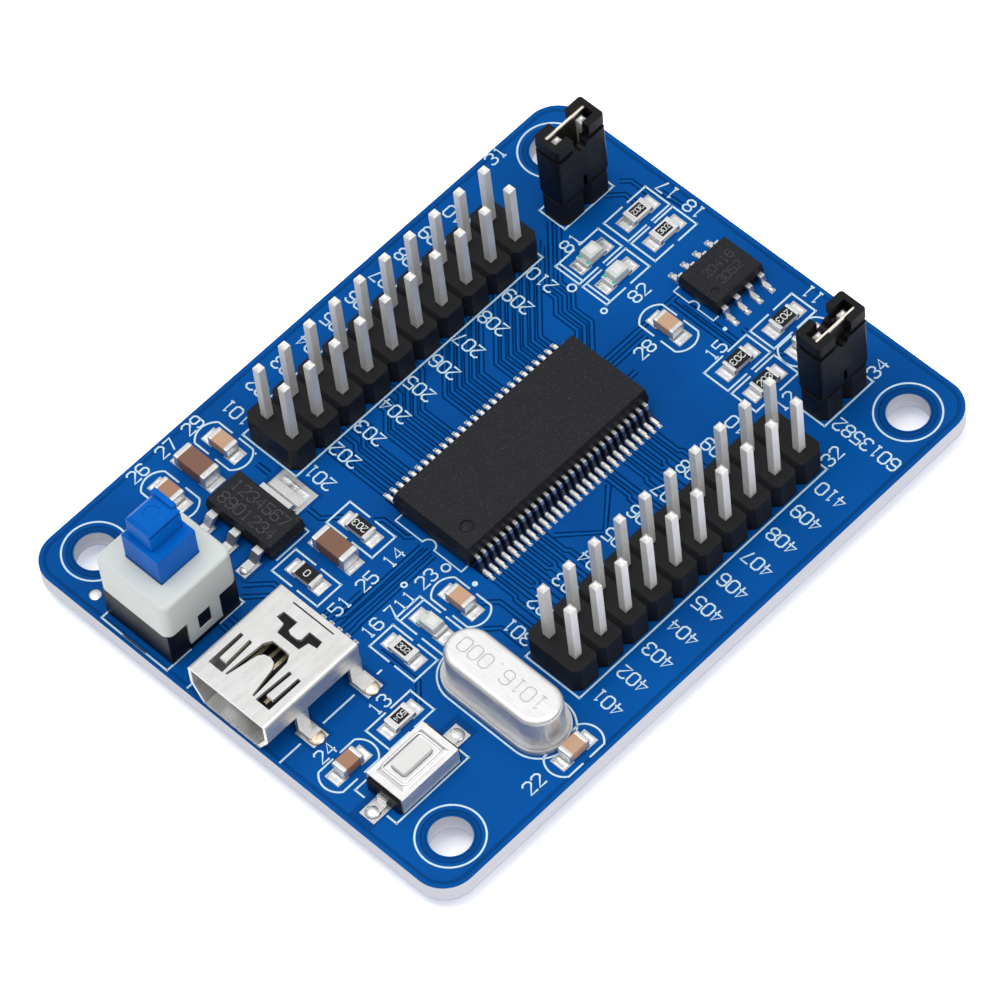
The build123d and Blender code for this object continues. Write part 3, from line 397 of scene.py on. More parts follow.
def make_grain_group():
    """Fine moulded or cast grain: a height, and a tone that is mostly 0 with brighter specks."""
    group, given, result = new_group(
        "Fine grain",
        [("Vector", "NodeSocketVector", None), ("Size mm", "NodeSocketFloat", 0.1),
         ("Specks", "NodeSocketFloat", 0.3)],
        [("Height", "NodeSocketFloat"), ("Tone", "NodeSocketFloat")],
    )
    links = group.links
    grain = sized_noise(group, given, 3)
    grain.inputs["Roughness"].default_value = 0.6
    specks = group.nodes.new("ShaderNodeMapRange")
    specks.inputs["From Min"].default_value = 0.56
    specks.inputs["From Max"].default_value = 0.75
    links.new(grain.outputs["Fac"], specks.inputs["Value"])
    links.new(given.outputs["Specks"], specks.inputs["To Max"])
    links.new(grain.outputs["Fac"], result.inputs["Height"])
    links.new(specks.outputs["Result"], result.inputs["Tone"])
    return group


def make_cloud_group():
    """Soft uneven tone for colour and roughness."""
    group, given, result = new_group(
        "Soft clouds",
        [("Vector", "NodeSocketVector", None), ("Size mm", "NodeSocketFloat", 4.0),
         ("Low", "NodeSocketFloat", 0.0), ("High", "NodeSocketFloat", 1.0)],
        [("Value", "NodeSocketFloat")],
    )
    cloud = sized_noise(group, given, 4)
    group.links.new(spread(group, given, cloud, 0.3, 0.7), result.inputs["Value"])
    return group


def make_drawn_group():
    """Long fine marks along one axis, as drawn wire and rolled sheet have."""
    group, given, result = new_group(
        "Drawn marks",
        [("Vector", "NodeSocketVector", None), ("Across", "NodeSocketVector", (9000, 9000, 500)),
         ("Low", "NodeSocketFloat", 0.0), ("High", "NodeSocketFloat", 1.0)],
        [("Height", "NodeSocketFloat"), ("Value", "NodeSocketFloat")],
    )
    nodes, links = group.nodes, group.links
    stretched = nodes.new("ShaderNodeVectorMath")
    stretched.operation = "MULTIPLY"
    links.new(given.outputs["Vector"], stretched.inputs[0])
    links.new(given.outputs["Across"], stretched.inputs[1])
    marks = nodes.new("ShaderNodeTexNoise")
    marks.inputs["Scale"].default_value = 1
    marks.inputs["Detail"].default_value = 3
    links.new(stretched.outputs["Vector"], marks.inputs["Vector"])
    links.new(marks.outputs["Fac"], result.inputs["Height"])
    links.new(spread(group, given, marks, 0.35, 0.65), result.inputs["Value"])
    return group


GROUPS = {}


def group_node(tree, place, name, values):
    """Put a shared group in a material, with its coordinates and its own values."""
    if not GROUPS:
        GROUPS["grain"] = make_grain_group()
        GROUPS["clouds"] = make_cloud_group()
        GROUPS["drawn"] = make_drawn_group()
    node = tree.nodes.new("ShaderNodeGroup")
    node.node_tree = GROUPS[name]
    for label, value in values.items():
        node.inputs[label].default_value = value
    tree.links.new(place, node.inputs["Vector"])
    return node


# ================================================================ finishes
def blank_finish(name, roughness, metallic=0.0, coat=0.0, gloss=0.5):
    """A new material, its tree, its Principled shader and object coordinates."""
    finish = bpy.data.materials.new(name)
    finish.use_nodes = True
    tree = finish.node_tree
    shader = tree.nodes["Principled BSDF"]
    shader.inputs["Roughness"].default_value = roughness
    shader.inputs["Metallic"].default_value = metallic
    shader.inputs["Coat Weight"].default_value = coat
    shader.inputs["Specular IOR Level"].default_value = gloss
    coordinates = tree.nodes.new("ShaderNodeTexCoord")
    return finish, tree, shader, coordinates.outputs["Object"]


def mix_colours(tree, factor, low, high):
    """Mix of two colours by a value socket."""
    mixer = tree.nodes.new("ShaderNodeMix")
    mixer.data_type = "RGBA"
    tree.links.new(factor, mixer.inputs["Factor"])
    for socket, colour in (("A", low), ("B", high)):
        target = [item for item in mixer.inputs if item.name == socket and item.type == "RGBA"][0]
        if isinstance(colour, bpy.types.NodeSocket):
            tree.links.new(colour, target)
        else:
            target.default_value = (*colour, 1)
    return [item for item in mixer.outputs if item.type == "RGBA"][0]


def add_surface(tree, shader, tone, height, depth_mm, edge_mm=0.0):
    """Colour, and bump of a given depth over softened edges."""
    tree.links.new(tone, shader.inputs["Base Color"])
    bump = tree.nodes.new("ShaderNodeBump")
    bump.inputs["Distance"].default_value = depth_mm * MM
    bump.inputs["Strength"].default_value = 1.0
    tree.links.new(height, bump.inputs["Height"])
    if edge_mm:
        soften = tree.nodes.new("ShaderNodeBevel")
        soften.samples = 4
        soften.inputs["Radius"].default_value = edge_mm * MM
        tree.links.new(soften.outputs["Normal"], bump.inputs["Normal"])
    tree.links.new(bump.outputs["Normal"], shader.inputs["Normal"])


def moulded_plastic(
    name, colour, roughness, grain_mm=0.08, depth_mm=0.004, specks=0.1, edge_mm=0.05, tint=0.35, gloss=0.2
):
    """Moulded plastic: a fine spark-eroded grain and slightly uneven colour."""
    finish, tree, shader, place = blank_finish(name, roughness, gloss=gloss)
    grain = group_node(tree, place, "grain", {"Size mm": grain_mm, "Specks": specks})
    clouds = group_node(tree, place, "clouds", {"Size mm": 2.5, "Low": 0.0, "High": tint})
    sheen = group_node(
        tree, place, "clouds", {"Size mm": 1.3, "Low": roughness - 0.06, "High": roughness + 0.08}
    )
    darker = tuple(value * 0.8 for value in colour)
    lighter = tuple(min(1, value * 1.6 + 0.02) for value in colour)
    tone = mix_colours(tree, clouds.outputs["Value"], colour, darker)
    tone = mix_colours(tree, grain.outputs["Tone"], tone, lighter)
    tree.links.new(sheen.outputs["Value"], shader.inputs["Roughness"])
    add_surface(tree, shader, tone, grain.outputs["Height"], depth_mm, edge_mm)
    return finish


def plated_metal(
    name, colour, roughness, across=(9000, 9000, 500), depth_mm=0.0006, edge_mm=0.03, tint=0.5, metallic=0.7
):
    """Plated metal: drawn marks in height and shine, with cloudy tarnish."""
    finish, tree, shader, place = blank_finish(name, roughness, metallic=metallic)
    drawn = group_node(
        tree, place, "drawn", {"Across": across, "Low": roughness - 0.04, "High": roughness + 0.06}
    )
    clouds = group_node(tree, place, "clouds", {"Size mm": 1.2, "Low": 0.0, "High": tint})
    darker = tuple(value * 0.82 for value in colour)
    tone = mix_colours(tree, clouds.outputs["Value"], colour, darker)
    tree.links.new(drawn.outputs["Value"], shader.inputs["Roughness"])
    add_surface(tree, shader, tone, drawn.outputs["Height"], depth_mm, edge_mm)
    return finish


def masked_copper(name, colour, second, roughness=0.32):
    """Solder mask: deep blue that varies a little with the copper beneath."""
    finish, tree, shader, place = blank_finish(name, roughness, gloss=0.03)
    clouds = group_node(tree, place, "clouds", {"Size mm": 9.0, "Low": 0.0, "High": 1.0})
    peel = group_node(tree, place, "grain", {"Size mm": 0.25, "Specks": 0.05})
    tone = mix_colours(tree, clouds.outputs["Value"], colour, second)
    add_surface(tree, shader, tone, peel.outputs["Height"], 0.002)
    return finish, tree, shader, place, tone


def height_between(tree, place, low, high):
    """1 where an object-space height lies between two limits, else 0."""
    split = tree.nodes.new("ShaderNodeSeparateXYZ")
    tree.links.new(place, split.inputs["Vector"])
    both = tree.nodes.new("ShaderNodeMath")
    both.operation = "MULTIPLY"
    for index, (operation, limit) in enumerate((("GREATER_THAN", low), ("LESS_THAN", high))):
        test = tree.nodes.new("ShaderNodeMath")
        test.operation = operation
        test.inputs[1].default_value = limit
        tree.links.new(split.outputs["Z"], test.inputs[0])
        tree.links.new(test.outputs[0], both.inputs[index])
    return both.outputs[0]


def contact_finish():
    """Link contact: bright along its upper edge, with painted shade on the part inside the cap."""
    finish, tree, shader, place = blank_finish("Link contact", 0.3, metallic=0.8)
    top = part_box("link_a_contact")[1].z / MM
    edge = height_between(tree, place, (top - 0.16) * MM, (top + 1) * MM)
    clouds = group_node(tree, place, "clouds", {"Size mm": 0.6, "Low": 0.0, "High": 1.0})
    # Painted shade: 'dull' is the near-black colour given to the contact below its top 0.16 mm, as shade
    # inside the cap; 'bright' is its plated colour.
    dull = mix_colours(tree, clouds.outputs["Value"], (0.075, 0.07, 0.06), (0.04, 0.038, 0.035))
    bright = mix_colours(tree, clouds.outputs["Value"], (0.88, 0.83, 0.74), (0.80, 0.72, 0.60))
    tone = mix_colours(tree, edge, dull, bright)
    add_surface(tree, shader, tone, clouds.outputs["Value"], 0.004)
    return finish


def lead_finish(node):
    """Gull-wing leads: bright shoulders and feet, streaky, with a painted dark reflection on the slope
    between them.
    """
    finish, tree, shader, place = blank_finish("Streaked leads with painted dark slopes", 0.26, metallic=0.85)
    low, high = (corner.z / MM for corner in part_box(node))
    slope = height_between(tree, place, (low + 0.34) * MM, (high - 0.34) * MM)
    drawn = group_node(tree, place, "drawn", {"Across": (6000, 6000, 1500), "Low": 0.0, "High": 1.0})
    level = mix_colours(tree, drawn.outputs["Value"], (0.84, 0.84, 0.83), (0.70, 0.70, 0.69))
    # Painted reflection: the slopes are coloured dark, standing for the dark body and board they mirror; the
    # drawn streaks are real.
    painted_dark_reflection = mix_colours(tree, drawn.outputs["Value"], (0.24, 0.23, 0.22), (0.07, 0.07, 0.07))
    tone = mix_colours(tree, slope, level, painted_dark_reflection)
    add_surface(tree, shader, tone, drawn.outputs["Height"], 0.0006)
    return finish


def can_finish():
    """Crystal can: bright flat top over drawn sides darkened with painted shade."""
    finish, tree, shader, place = blank_finish("Crystal can", 0.3, metallic=0.55)
    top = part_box("crystal_can")[1].z / MM
    crown = height_between(tree, place, (top - 0.12) * MM, (top + 1) * MM)
    drawn = group_node(tree, place, "drawn", {"Across": (5000, 900, 5000), "Low": 0.0, "High": 1.0})
    # Painted shade: the sides take a darker tone than the top, though top and sides are the same metal.
    sides = mix_colours(tree, drawn.outputs["Value"], (0.50, 0.50, 0.51), (0.42, 0.42, 0.43))
    face = mix_colours(tree, drawn.outputs["Value"], (0.70, 0.70, 0.70), (0.64, 0.64, 0.64))
    tone = mix_colours(tree, crown, sides, face)
    add_surface(tree, shader, tone, drawn.outputs["Height"], 0.0006)
    return finish


def board_finish(colours):
    """Solder mask on both faces and bare laminate round the edge and in the holes."""
    finish, tree, shader, place, mask = masked_copper("Board", colours.mask, colours.mask_second)
    skin = 0.03 * MM
    bare = height_between(tree, place, skin, TOP * MM - skin)
    layers = group_node(tree, place, "drawn", {"Across": (150, 150, 16000), "Low": 0.0, "High": 0.6})
    laminate = mix_colours(tree, layers.outputs["Value"], (0.56, 0.57, 0.62), (0.42, 0.43, 0.49))
    tone = mix_colours(tree, bare, mask, laminate)
    tree.links.new(tone, shader.inputs["Base Color"])
    rough = tree.nodes.new("ShaderNodeMapRange")
    rough.inputs["To Min"].default_value = 0.32
    rough.inputs["To Max"].default_value = 0.85
    tree.links.new(bare, rough.inputs["Value"])
    tree.links.new(rough.outputs["Result"], shader.inputs["Roughness"])
    return finish


def printed_ink(name, colour, roughness=0.45, patchy=0.35):
    """Printed ink, thin in places."""
    finish, tree, shader, place = blank_finish(name, roughness)
    thin = group_node(tree, place, "clouds", {"Size mm": 0.5, "Low": 0.0, "High": patchy})
    grain = group_node(tree, place, "grain", {"Size mm": 0.06, "Specks": 0.0})
    worn = tuple(value * 0.55 for value in colour)
    tone = mix_colours(tree, thin.outputs["Value"], colour, worn)
    add_surface(tree, shader, tone, grain.outputs["Height"], 0.003)
    return finish


def rippled_solder(name, colour, stain=None):
    """Bright solder with a slow ripple and dull flux patches."""
    finish, tree, shader, place = blank_finish(name, 0.25, metallic=0.9)
    ripple = group_node(tree, place, "grain", {"Size mm": 0.45, "Specks": 0.4})
    dull = group_node(tree, place, "clouds", {"Size mm": 0.7, "Low": 0.16, "High": 0.5})
    darker = tuple(value * 0.6 for value in colour)
    tone = mix_colours(tree, ripple.outputs["Tone"], colour, darker)
    if stain:
        spots = group_node(tree, place, "clouds", {"Size mm": 0.9, "Low": -0.8, "High": 1.0})
        tone = mix_colours(tree, spots.outputs["Value"], tone, stain)
    tree.links.new(dull.outputs["Value"], shader.inputs["Roughness"])
    add_surface(tree, shader, tone, ripple.outputs["Height"], 0.03)
    return finish


def clear_resin(name, colour):
    """Cloudy clear resin that lets some light through."""
    finish, tree, shader, place = blank_finish(name, 0.18, coat=0.5)
    shader.inputs["Subsurface Weight"].default_value = 0.25
    shader.inputs["Subsurface Scale"].default_value = 0.3 * MM
    clouds = group_node(tree, place, "clouds", {"Size mm": 0.5, "Low": 0.0, "High": 0.6})
    darker = tuple(value * 0.75 for value in colour)
    tone = mix_colours(tree, clouds.outputs["Value"], colour, darker)
    ripple = group_node(tree, place, "grain", {"Size mm": 0.3, "Specks": 0.0})
    add_surface(tree, shader, tone, ripple.outputs["Height"], 0.008)
    return finish


FINISHES = {}


def finish_named(name):
    """Build each finish once and keep it."""
    if name not in FINISHES:
        FINISHES[name] = FINISH_MAKERS[name]()
    return FINISHES[name]


def colours():
    """The colour settings of this scene."""
    return bpy.context.scene.board_colours


FINISH_MAKERS = {
    "board": lambda: board_finish(colours()),
    "track": lambda: masked_copper("Tracks", colours().track, colours().mask)[0],
    "mask gap": lambda: masked_copper("Mask gaps", colours().gap, colours().gap_second)[0],
    "ink": lambda: printed_ink("White ink", colours().ink),
    "tin": lambda: plated_metal("Tin plate", (0.78, 0.77, 0.755), 0.42, metallic=0.5),
    "cap end": lambda: plated_metal(
        "Plated chip ends", (0.62, 0.62, 0.62), 0.30, across=(2500, 2500, 2500), edge_mm=0
    ),
    "fine lead": lambda: lead_finish("controller_leads"),
    "lead": lambda: plated_metal(
        "Lead frame", (0.60, 0.60, 0.60), 0.26, across=(7000, 7000, 7000), metallic=0.85
    ),
    "pad": lambda: plated_metal(
        "Tinned pads", (0.46, 0.47, 0.48), 0.34, across=(3000, 3000, 3000), edge_mm=0
    ),
    "solder": lambda: rippled_solder("Solder", (0.66, 0.66, 0.67)),
    "tab solder": lambda: rippled_solder(
        "Solder with flux", (0.74, 0.66, 0.56), stain=(0.42, 0.20, 0.07)
    ),
    "nickel": lambda: plated_metal(
        "Nickel plate", (0.61, 0.61, 0.60), 0.28, across=(250, 2500, 2500), depth_mm=0.0002
    ),
    "can": can_finish,
    "cover": lambda: plated_metal("Bright cover", (0.68, 0.68, 0.68), 0.34, across=(900, 6000, 6000)),
    "contact": contact_finish,
    "brass": lambda: plated_metal("Plated contact", (0.82, 0.78, 0.68), 0.25, across=(5000, 5000, 900)),
    "gold": lambda: plated_metal("Gold flash", (0.60, 0.50, 0.32), 0.22),
    "spring": lambda: plated_metal("Spring wire", (0.62, 0.62, 0.62), 0.3),
    "black nylon": lambda: moulded_plastic("Black nylon", colours().black, 0.5, gloss=0.16),
    "black gloss": lambda: moulded_plastic(
        "Black moulding", (0.0035, 0.0036, 0.0045), 0.4, depth_mm=0.002, gloss=0.16
    ),
    "package": lambda: moulded_plastic(
        "Chip moulding", colours().package, 0.5, grain_mm=0.17, depth_mm=0.02, specks=1.0, gloss=0.14
    ),
    "white plastic": lambda: moulded_plastic(
        "White switch moulding", (0.50, 0.53, 0.515), 0.42, depth_mm=0.002, edge_mm=0.08, tint=0.15, gloss=0.3
    ),
    "button": lambda: moulded_plastic(
        "White button moulding", (0.56, 0.56, 0.55), 0.42, tint=0.15, gloss=0.3
    ),
    "blue plastic": lambda: moulded_plastic(
        "Blue plunger moulding", colours().plunger, 0.3, depth_mm=0.002, edge_mm=0.07, tint=0.8, gloss=0.05
    ),
    "ceramic": lambda: moulded_plastic("White ceramic", (0.60, 0.60, 0.60), 0.5, edge_mm=0),
    "glaze": lambda: moulded_plastic("Black glaze", (0.006, 0.006, 0.007), 0.3, specks=0.2, edge_mm=0),
    "tan": lambda: moulded_plastic("Brown ceramic", (0.165, 0.085, 0.058), 0.45, specks=0.15, edge_mm=0),
    "warm tan": lambda: moulded_plastic(
        "Warm ceramic", (0.29, 0.155, 0.095), 0.45, specks=0.15, edge_mm=0
    ),
    "pale tan": lambda: moulded_plastic(
        "Tan ceramic", (0.43, 0.27, 0.175), 0.45, specks=0.15, edge_mm=0
    ),
    "resin": lambda: clear_resin("Clear resin", (0.52, 0.55, 0.52)),
    "green dot": lambda: clear_resin("Green marks", (0.01, 0.45, 0.28)),
    "quartz": lambda: clear_resin("Quartz", (0.85, 0.88, 0.92)),
    "mark": lambda: printed_ink("Pale marking", (0.62, 0.64, 0.62), patchy=0.15),
    "faint mark": lambda: printed_ink("Faint marking", (0.042, 0.042, 0.046), patchy=0.6),
    "faded mark": lambda: printed_ink("Faded marking", (0.02, 0.02, 0.0225), patchy=0.6),
    "grey mark": lambda: printed_ink("Grey marking", (0.44, 0.44, 0.44), patchy=0.6),
    # Painted shade: near-black mask colour for the shadow under and between the controller's leads.
    "lead shade patch": lambda: masked_copper(
        "Painted shade between leads", (0.0003, 0.010, 0.045), (0.0002, 0.006, 0.03)
    )[0],
    # Painted shade: a near-black tone for the shaded rim of the pin-one dimple.
    "dimple rim shade": lambda: moulded_plastic(
        "Painted dimple rim shade", (0.004, 0.004, 0.005), 0.5, edge_mm=0, gloss=0.1
    ),
}


def dress(node, name):
    """Give a CAD node a finish."""
    slots = NODES[node].data.materials
    slots.clear()
    slots.append(finish_named(name))


def shade(node_names, name):
    """Give several CAD nodes the same finish."""
    for node in node_names:
        dress(node, name)


# ================================================================ settings
def colour_property(name, description, default):
    """A colour setting."""
    return bpy.props.FloatVectorProperty(
        name=name, description=description, subtype="COLOR", size=3, default=default, min=0.0, max=1.0
    )


def length_property(name, description, default):
    """A length setting in metres, given here in millimetres."""
    return bpy.props.FloatProperty(
        name=name, description=description, subtype="DISTANCE", unit="LENGTH", default=default * MM, min=0.0
    )


class BoardColours(bpy.types.PropertyGroup):
    """Colours that a user would change"""

    mask: colour_property("Solder mask", "Mask over the copper pour", (0.0008, 0.070, 0.285))
    mask_second: colour_property("Solder mask, deeper", "Second tone of the mask", (0.0008, 0.052, 0.22))
    track: colour_property("Track", "Mask over a copper track", (0.001, 0.078, 0.29))
    gap: colour_property("Gap", "Mask over bare laminate", (0.0007, 0.050, 0.208))
    gap_second: colour_property("Gap, deeper", "Second tone of the gaps", (0.0006, 0.039, 0.162))
    ink: colour_property("Ink", "Printed lines and numbers", (0.49, 0.65, 0.77))
    black: colour_property("Black plastic", "Header and cap plastic", (0.0065, 0.0066, 0.0078))
    package: colour_property("Chip moulding", "Chip bodies", (0.010, 0.0104, 0.0135))
    plunger: colour_property("Plunger", "Switch plunger plastic", (0.0006, 0.102, 0.44))


class BoardSizes(bpy.types.PropertyGroup):
    """Line widths and print sizes that a user would change"""

    ink_width: length_property("Ink width", "Width of a printed line", 0.17)
    track_width: length_property("Track width", "Width of a copper track", 0.26)
    gap_width: length_property("Gap width", "Width of the cleared band round a track", 0.5)
    digit_height: length_property("Digit height", "Height of the printed numbers", 1.02)


class StageSettings(bpy.types.PropertyGroup):
    """Camera and studio lights"""

    lens: bpy.props.FloatProperty(
        name="Lens", description="Focal length in millimetres", default=236.946, min=1.0, unit="CAMERA"
    )
    camera_place: bpy.props.FloatVectorProperty(
        name="Camera place", description="Where the camera stands", subtype="TRANSLATION", unit="LENGTH",
        size=3, default=(-0.165619, -0.201367, 0.389591), precision=6,
    )
    camera_turn: bpy.props.FloatVectorProperty(
        name="Camera turn", description="How the camera is turned", subtype="EULER", unit="ROTATION",
        size=3, default=[math.radians(angle) for angle in (33.49825, 4.34436, -45.88745)], precision=6,
    )
    key_power: bpy.props.FloatProperty(
        name="Key light", description="Power in watts", default=1.15, min=0.0, unit="POWER"
    )
    fill_power: bpy.props.FloatProperty(
        name="Fill light", description="Power in watts", default=0.55, min=0.0, unit="POWER"
    )
    floor_glow: bpy.props.FloatProperty(
        name="Floor glow", description="Light of the pale floor itself", default=0.3, min=0.0
    )
    room_light: bpy.props.FloatProperty(
        name="Room light", description="Soft light from above and all round", default=0.84, min=0.0
    )


# ================================================================ operators
# Printed boxes of the chip parts: low X, low Y, high X, high Y.
BOXES_ALONG_X = (
    (21.1, 7.7, 25.5, 10.15), (21.1, 5.0, 25.5, 7.4),
    (16.25, -6.75, 20.7, -4.4), (21.1, -6.75, 25.5, -4.4),
    (16.25, -9.5, 20.7, -7.1), (-21.2, -9.65, -16.8, -7.3),
    (16.0, 7.75, 20.5, 10.15), (16.0, 5.0, 20.5, 7.4),
)
BOXES_ALONG_Y = (
    (-10.75, 2.45, -8.4, 7.0), (-16.2, 2.5, -13.8, 7.05),
    (-16.1, -7.0, -13.75, -2.6), (-13.2, -7.0, -10.8, -2.35),
)
# Bars that mark the cathode ends of the LEDs.
CATHODE_BARS = (
    [(16.38, 7.75), (16.38, 10.15)], [(16.38, 5.0), (16.38, 7.4)], [(-13.2, -2.76), (-10.8, -2.76)],
)
ROUNDED_FRAMES = [f"capacitor_{index}" for index in (1, 2, 3, 4, 6, 8, 9)]
BOX_GAP = 0.65
ROUNDED_LENGTH = 4.75
ROUNDED_WIDTH = 2.4


# The same for the headers and links.
CONNECTOR_BOXES = (
    (-9.42, 11.42, 15.98, 16.86), (-9.45, -16.6, 15.95, -11.4),
    (18.86, 11.94, 24.0, 14.5), (18.54, -14.0, 23.66, -11.4),
)


def passive_frames(ink):
    """Printed boxes round the chip parts."""
    strokes = [list(bar) for bar in CATHODE_BARS]
    for box in BOXES_ALONG_X:
        strokes += outline(*box, ink, gap=BOX_GAP)
    for box in BOXES_ALONG_Y:
        strokes += outline(*box, ink, gap=BOX_GAP, gap_along_y=True)
    for name in ROUNDED_FRAMES:
        strokes += rounded_outline(
            *centre_of(name), ROUNDED_LENGTH, ROUNDED_WIDTH, turn_of(name), BOX_GAP
        )
    return strokes


def component_frames(ink):
    """Printed boxes round the headers, switches, socket and chips."""
    strokes = []
    for box in CONNECTOR_BOXES:
        strokes += outline(*box, ink)
    # Power switch: four corners.
    for x, x_way in ((-26.95, 1), (-19.38, -1)):
        for y, y_way in ((6.68, 1), (13.32, -1)):
            strokes.append(extended([(x, y), (x + x_way * 2.3, y)], ink / 2))
            strokes.append(extended([(x, y), (x, y + y_way * 4.4)], ink / 2))
    # Socket: two long lines broken at the soldered tabs.
    for y in (-4.62, 4.58):
        for start, end in ((-27.05, -24.95), (-22.75, -19.65), (-17.4, -16.9)):
            strokes.append([(start, y), (end, y)])
    # Reset button: two lines that turn in at their ends.
    for y, inner in ((-14.16, -13.3), (-10.12, -10.95)):
        strokes.append(extended([(-25.1, y), (-18.0, y)], ink / 2))
        for x in (-25.1, -18.0):
            strokes.append(extended([(x, y), (x, inner)], ink / 2))
    # Crystal.
    x, y = centre_of("crystal_can")
    side, run = 2.55, 3.25
    strokes.append(
        arc(x, y + run, side, 0, 180, 24) + arc(x, y - run, side, 180, 360, 24) + [(x + side, y + run)]
    )
    # Controller, with its pin-one notch.
    strokes.append([(-6.75, 3.42), (-7.4, 3.42), (-7.4, 0.72)]
                   + arc(-7.4, CONTROLLER_Y, 0.57, 90, -90, 12) + [(-7.4, -3.12), (-6.75, -3.12)])
    # Memory chip, with its notch.
    strokes.append([(20.6, 2.15), (20.04, 2.15), (20.04, 0.62)] + arc(20.04, 0.2, 0.42, 90, -90, 10)
                   + [(20.04, -1.78), (20.6, -1.78)])
    # Regulator.
    strokes.append([(-15.4, 7.42), (-12.13, 7.42), (-12.13, 8.0)])
    return strokes


def rings_and_dots():
    """Printed rings and dots: (x, y, radius)."""
    rings = [(15.42, 7.93, 0.32), (-7.88, -2.07, 0.32), (-10.86, -0.84, 0.2), (15.47, 4.77, 0.22)]
    dots = [(-7.49, -4.55, 0.22), (20.06, -2.9, 0.17), (-9.95, 15.0, 0.08)]
    return rings, dots


def header_numbers():
    """Numbers beside the header pins: (text, x, y, turn)."""
    labels = []
    for column, x in enumerate(HEADER_COLUMNS, start=1):
        for row, y in ((100, 18.55), (200, 10.05), (300, -9.65), (400, -18.35)):
            labels.append((str(row + column), x - 0.34, y, ALONG_Y))
    return labels


def part_numbers():
    """Numbers beside the parts: (text, x, y, turn)."""
    return [
        ("26", -16.75, 20.15, 0), ("27", -13.9, 20.15, 0), ("29", -11.25, 20.15, 0),
        ("51", -15.1, 1.32, 0), ("25", -12.4, 1.32, 0), ("14", -9.7, 1.32, 0),
        ("16", -14.9, -1.68, 0), ("711", -12.2, -1.8, 0), ("23", -9.45, -1.68, 0),
        ("24", -24.35, -6.45, 0), ("13", -19.05, -6.5, 0), ("22", -16.55, -19.05, 0),
        ("81", 18.25, 10.75, 0), ("82", 18.3, 3.95, 0), ("17", 26.35, 8.7, 90), ("18", 26.35, 6.1, 90),
        ("28", 14.95, 0.2, 0), ("15", 18.25, -3.68, 0), ("11", 26.4, -5.6, 90), ("12", 18.3, -10.45, 0),
        ("32", 17.0, -16.15, 0), ("34", 24.7, -13.5, 0), ("6013582", 19.35, -17.3, 90),
        ("31", 20.3, 20.4, 0),
    ]


class OBJECT_OT_board_ink(bpy.types.Operator):
    """Print the lines, rings and plain numbers on the board"""

    bl_idname = "object.board_ink"
    bl_label = "Board Ink"
    bl_options = {"REGISTER", "UNDO"}

    def execute(self, context):
        sizes = context.scene.board_sizes
        ink = sizes.ink_width / MM
        high = sizes.digit_height / MM
        strokes = passive_frames(ink) + component_frames(ink)
        for x, y in HOLE_CENTRES:
            strokes.append(circle(x, y, 2.5, 48))
        rings, dots = rings_and_dots()
        for x, y, radius in rings:
            strokes.append(circle(x, y, radius, 20))
        for text, x, y, turn in header_numbers() + part_numbers():
            strokes += number(text, x, y, high, turn)
        pieces = [ribbons("silkscreen", strokes, ink, 0.02, MARK_LAYER, finish_named("ink"))]
        for x, y, radius in dots:
            start_clean()
            bpy.ops.mesh.primitive_cylinder_add(vertices=28, radius=radius * MM, depth=0.02 * MM)
            dot = bpy.context.object
            dot.location = Vector((x, y, TOP + MARK_LAYER)) * MM
            settle(dot)
            round_edges(dot, 0.006)
            dot.data.materials.append(finish_named("ink"))
            pieces.append(dot)
        finish_piece(join(pieces, "silkscreen"))
        return {"FINISHED"}


def controller_tracks():
    """Tracks that fan out from the controller to the two headers."""
    tracks = []
    for index, x in enumerate(CONTROLLER_LEADS):
        if index not in (5, 12, 13, 20):
            drift = 0.225 * index
            bend = 6.7 + 0.12 * (27 - index)
            far = (x + drift, bend + drift)
            tracks.append([(x, 5.2), (x, bend), far, (far[0], max(12.6, far[1]))])
        if index not in (20, 27) and not -0.9 < x < 4.9:
            jog = 0.22 * (index % 3 - 1)
            turn_at = -7.4 - 0.1 * (index % 4)
            tracks.append([(x, -4.9), (x, turn_at), (x + jog, turn_at - abs(jog)), (x + jog, -11.6)])
    return tracks


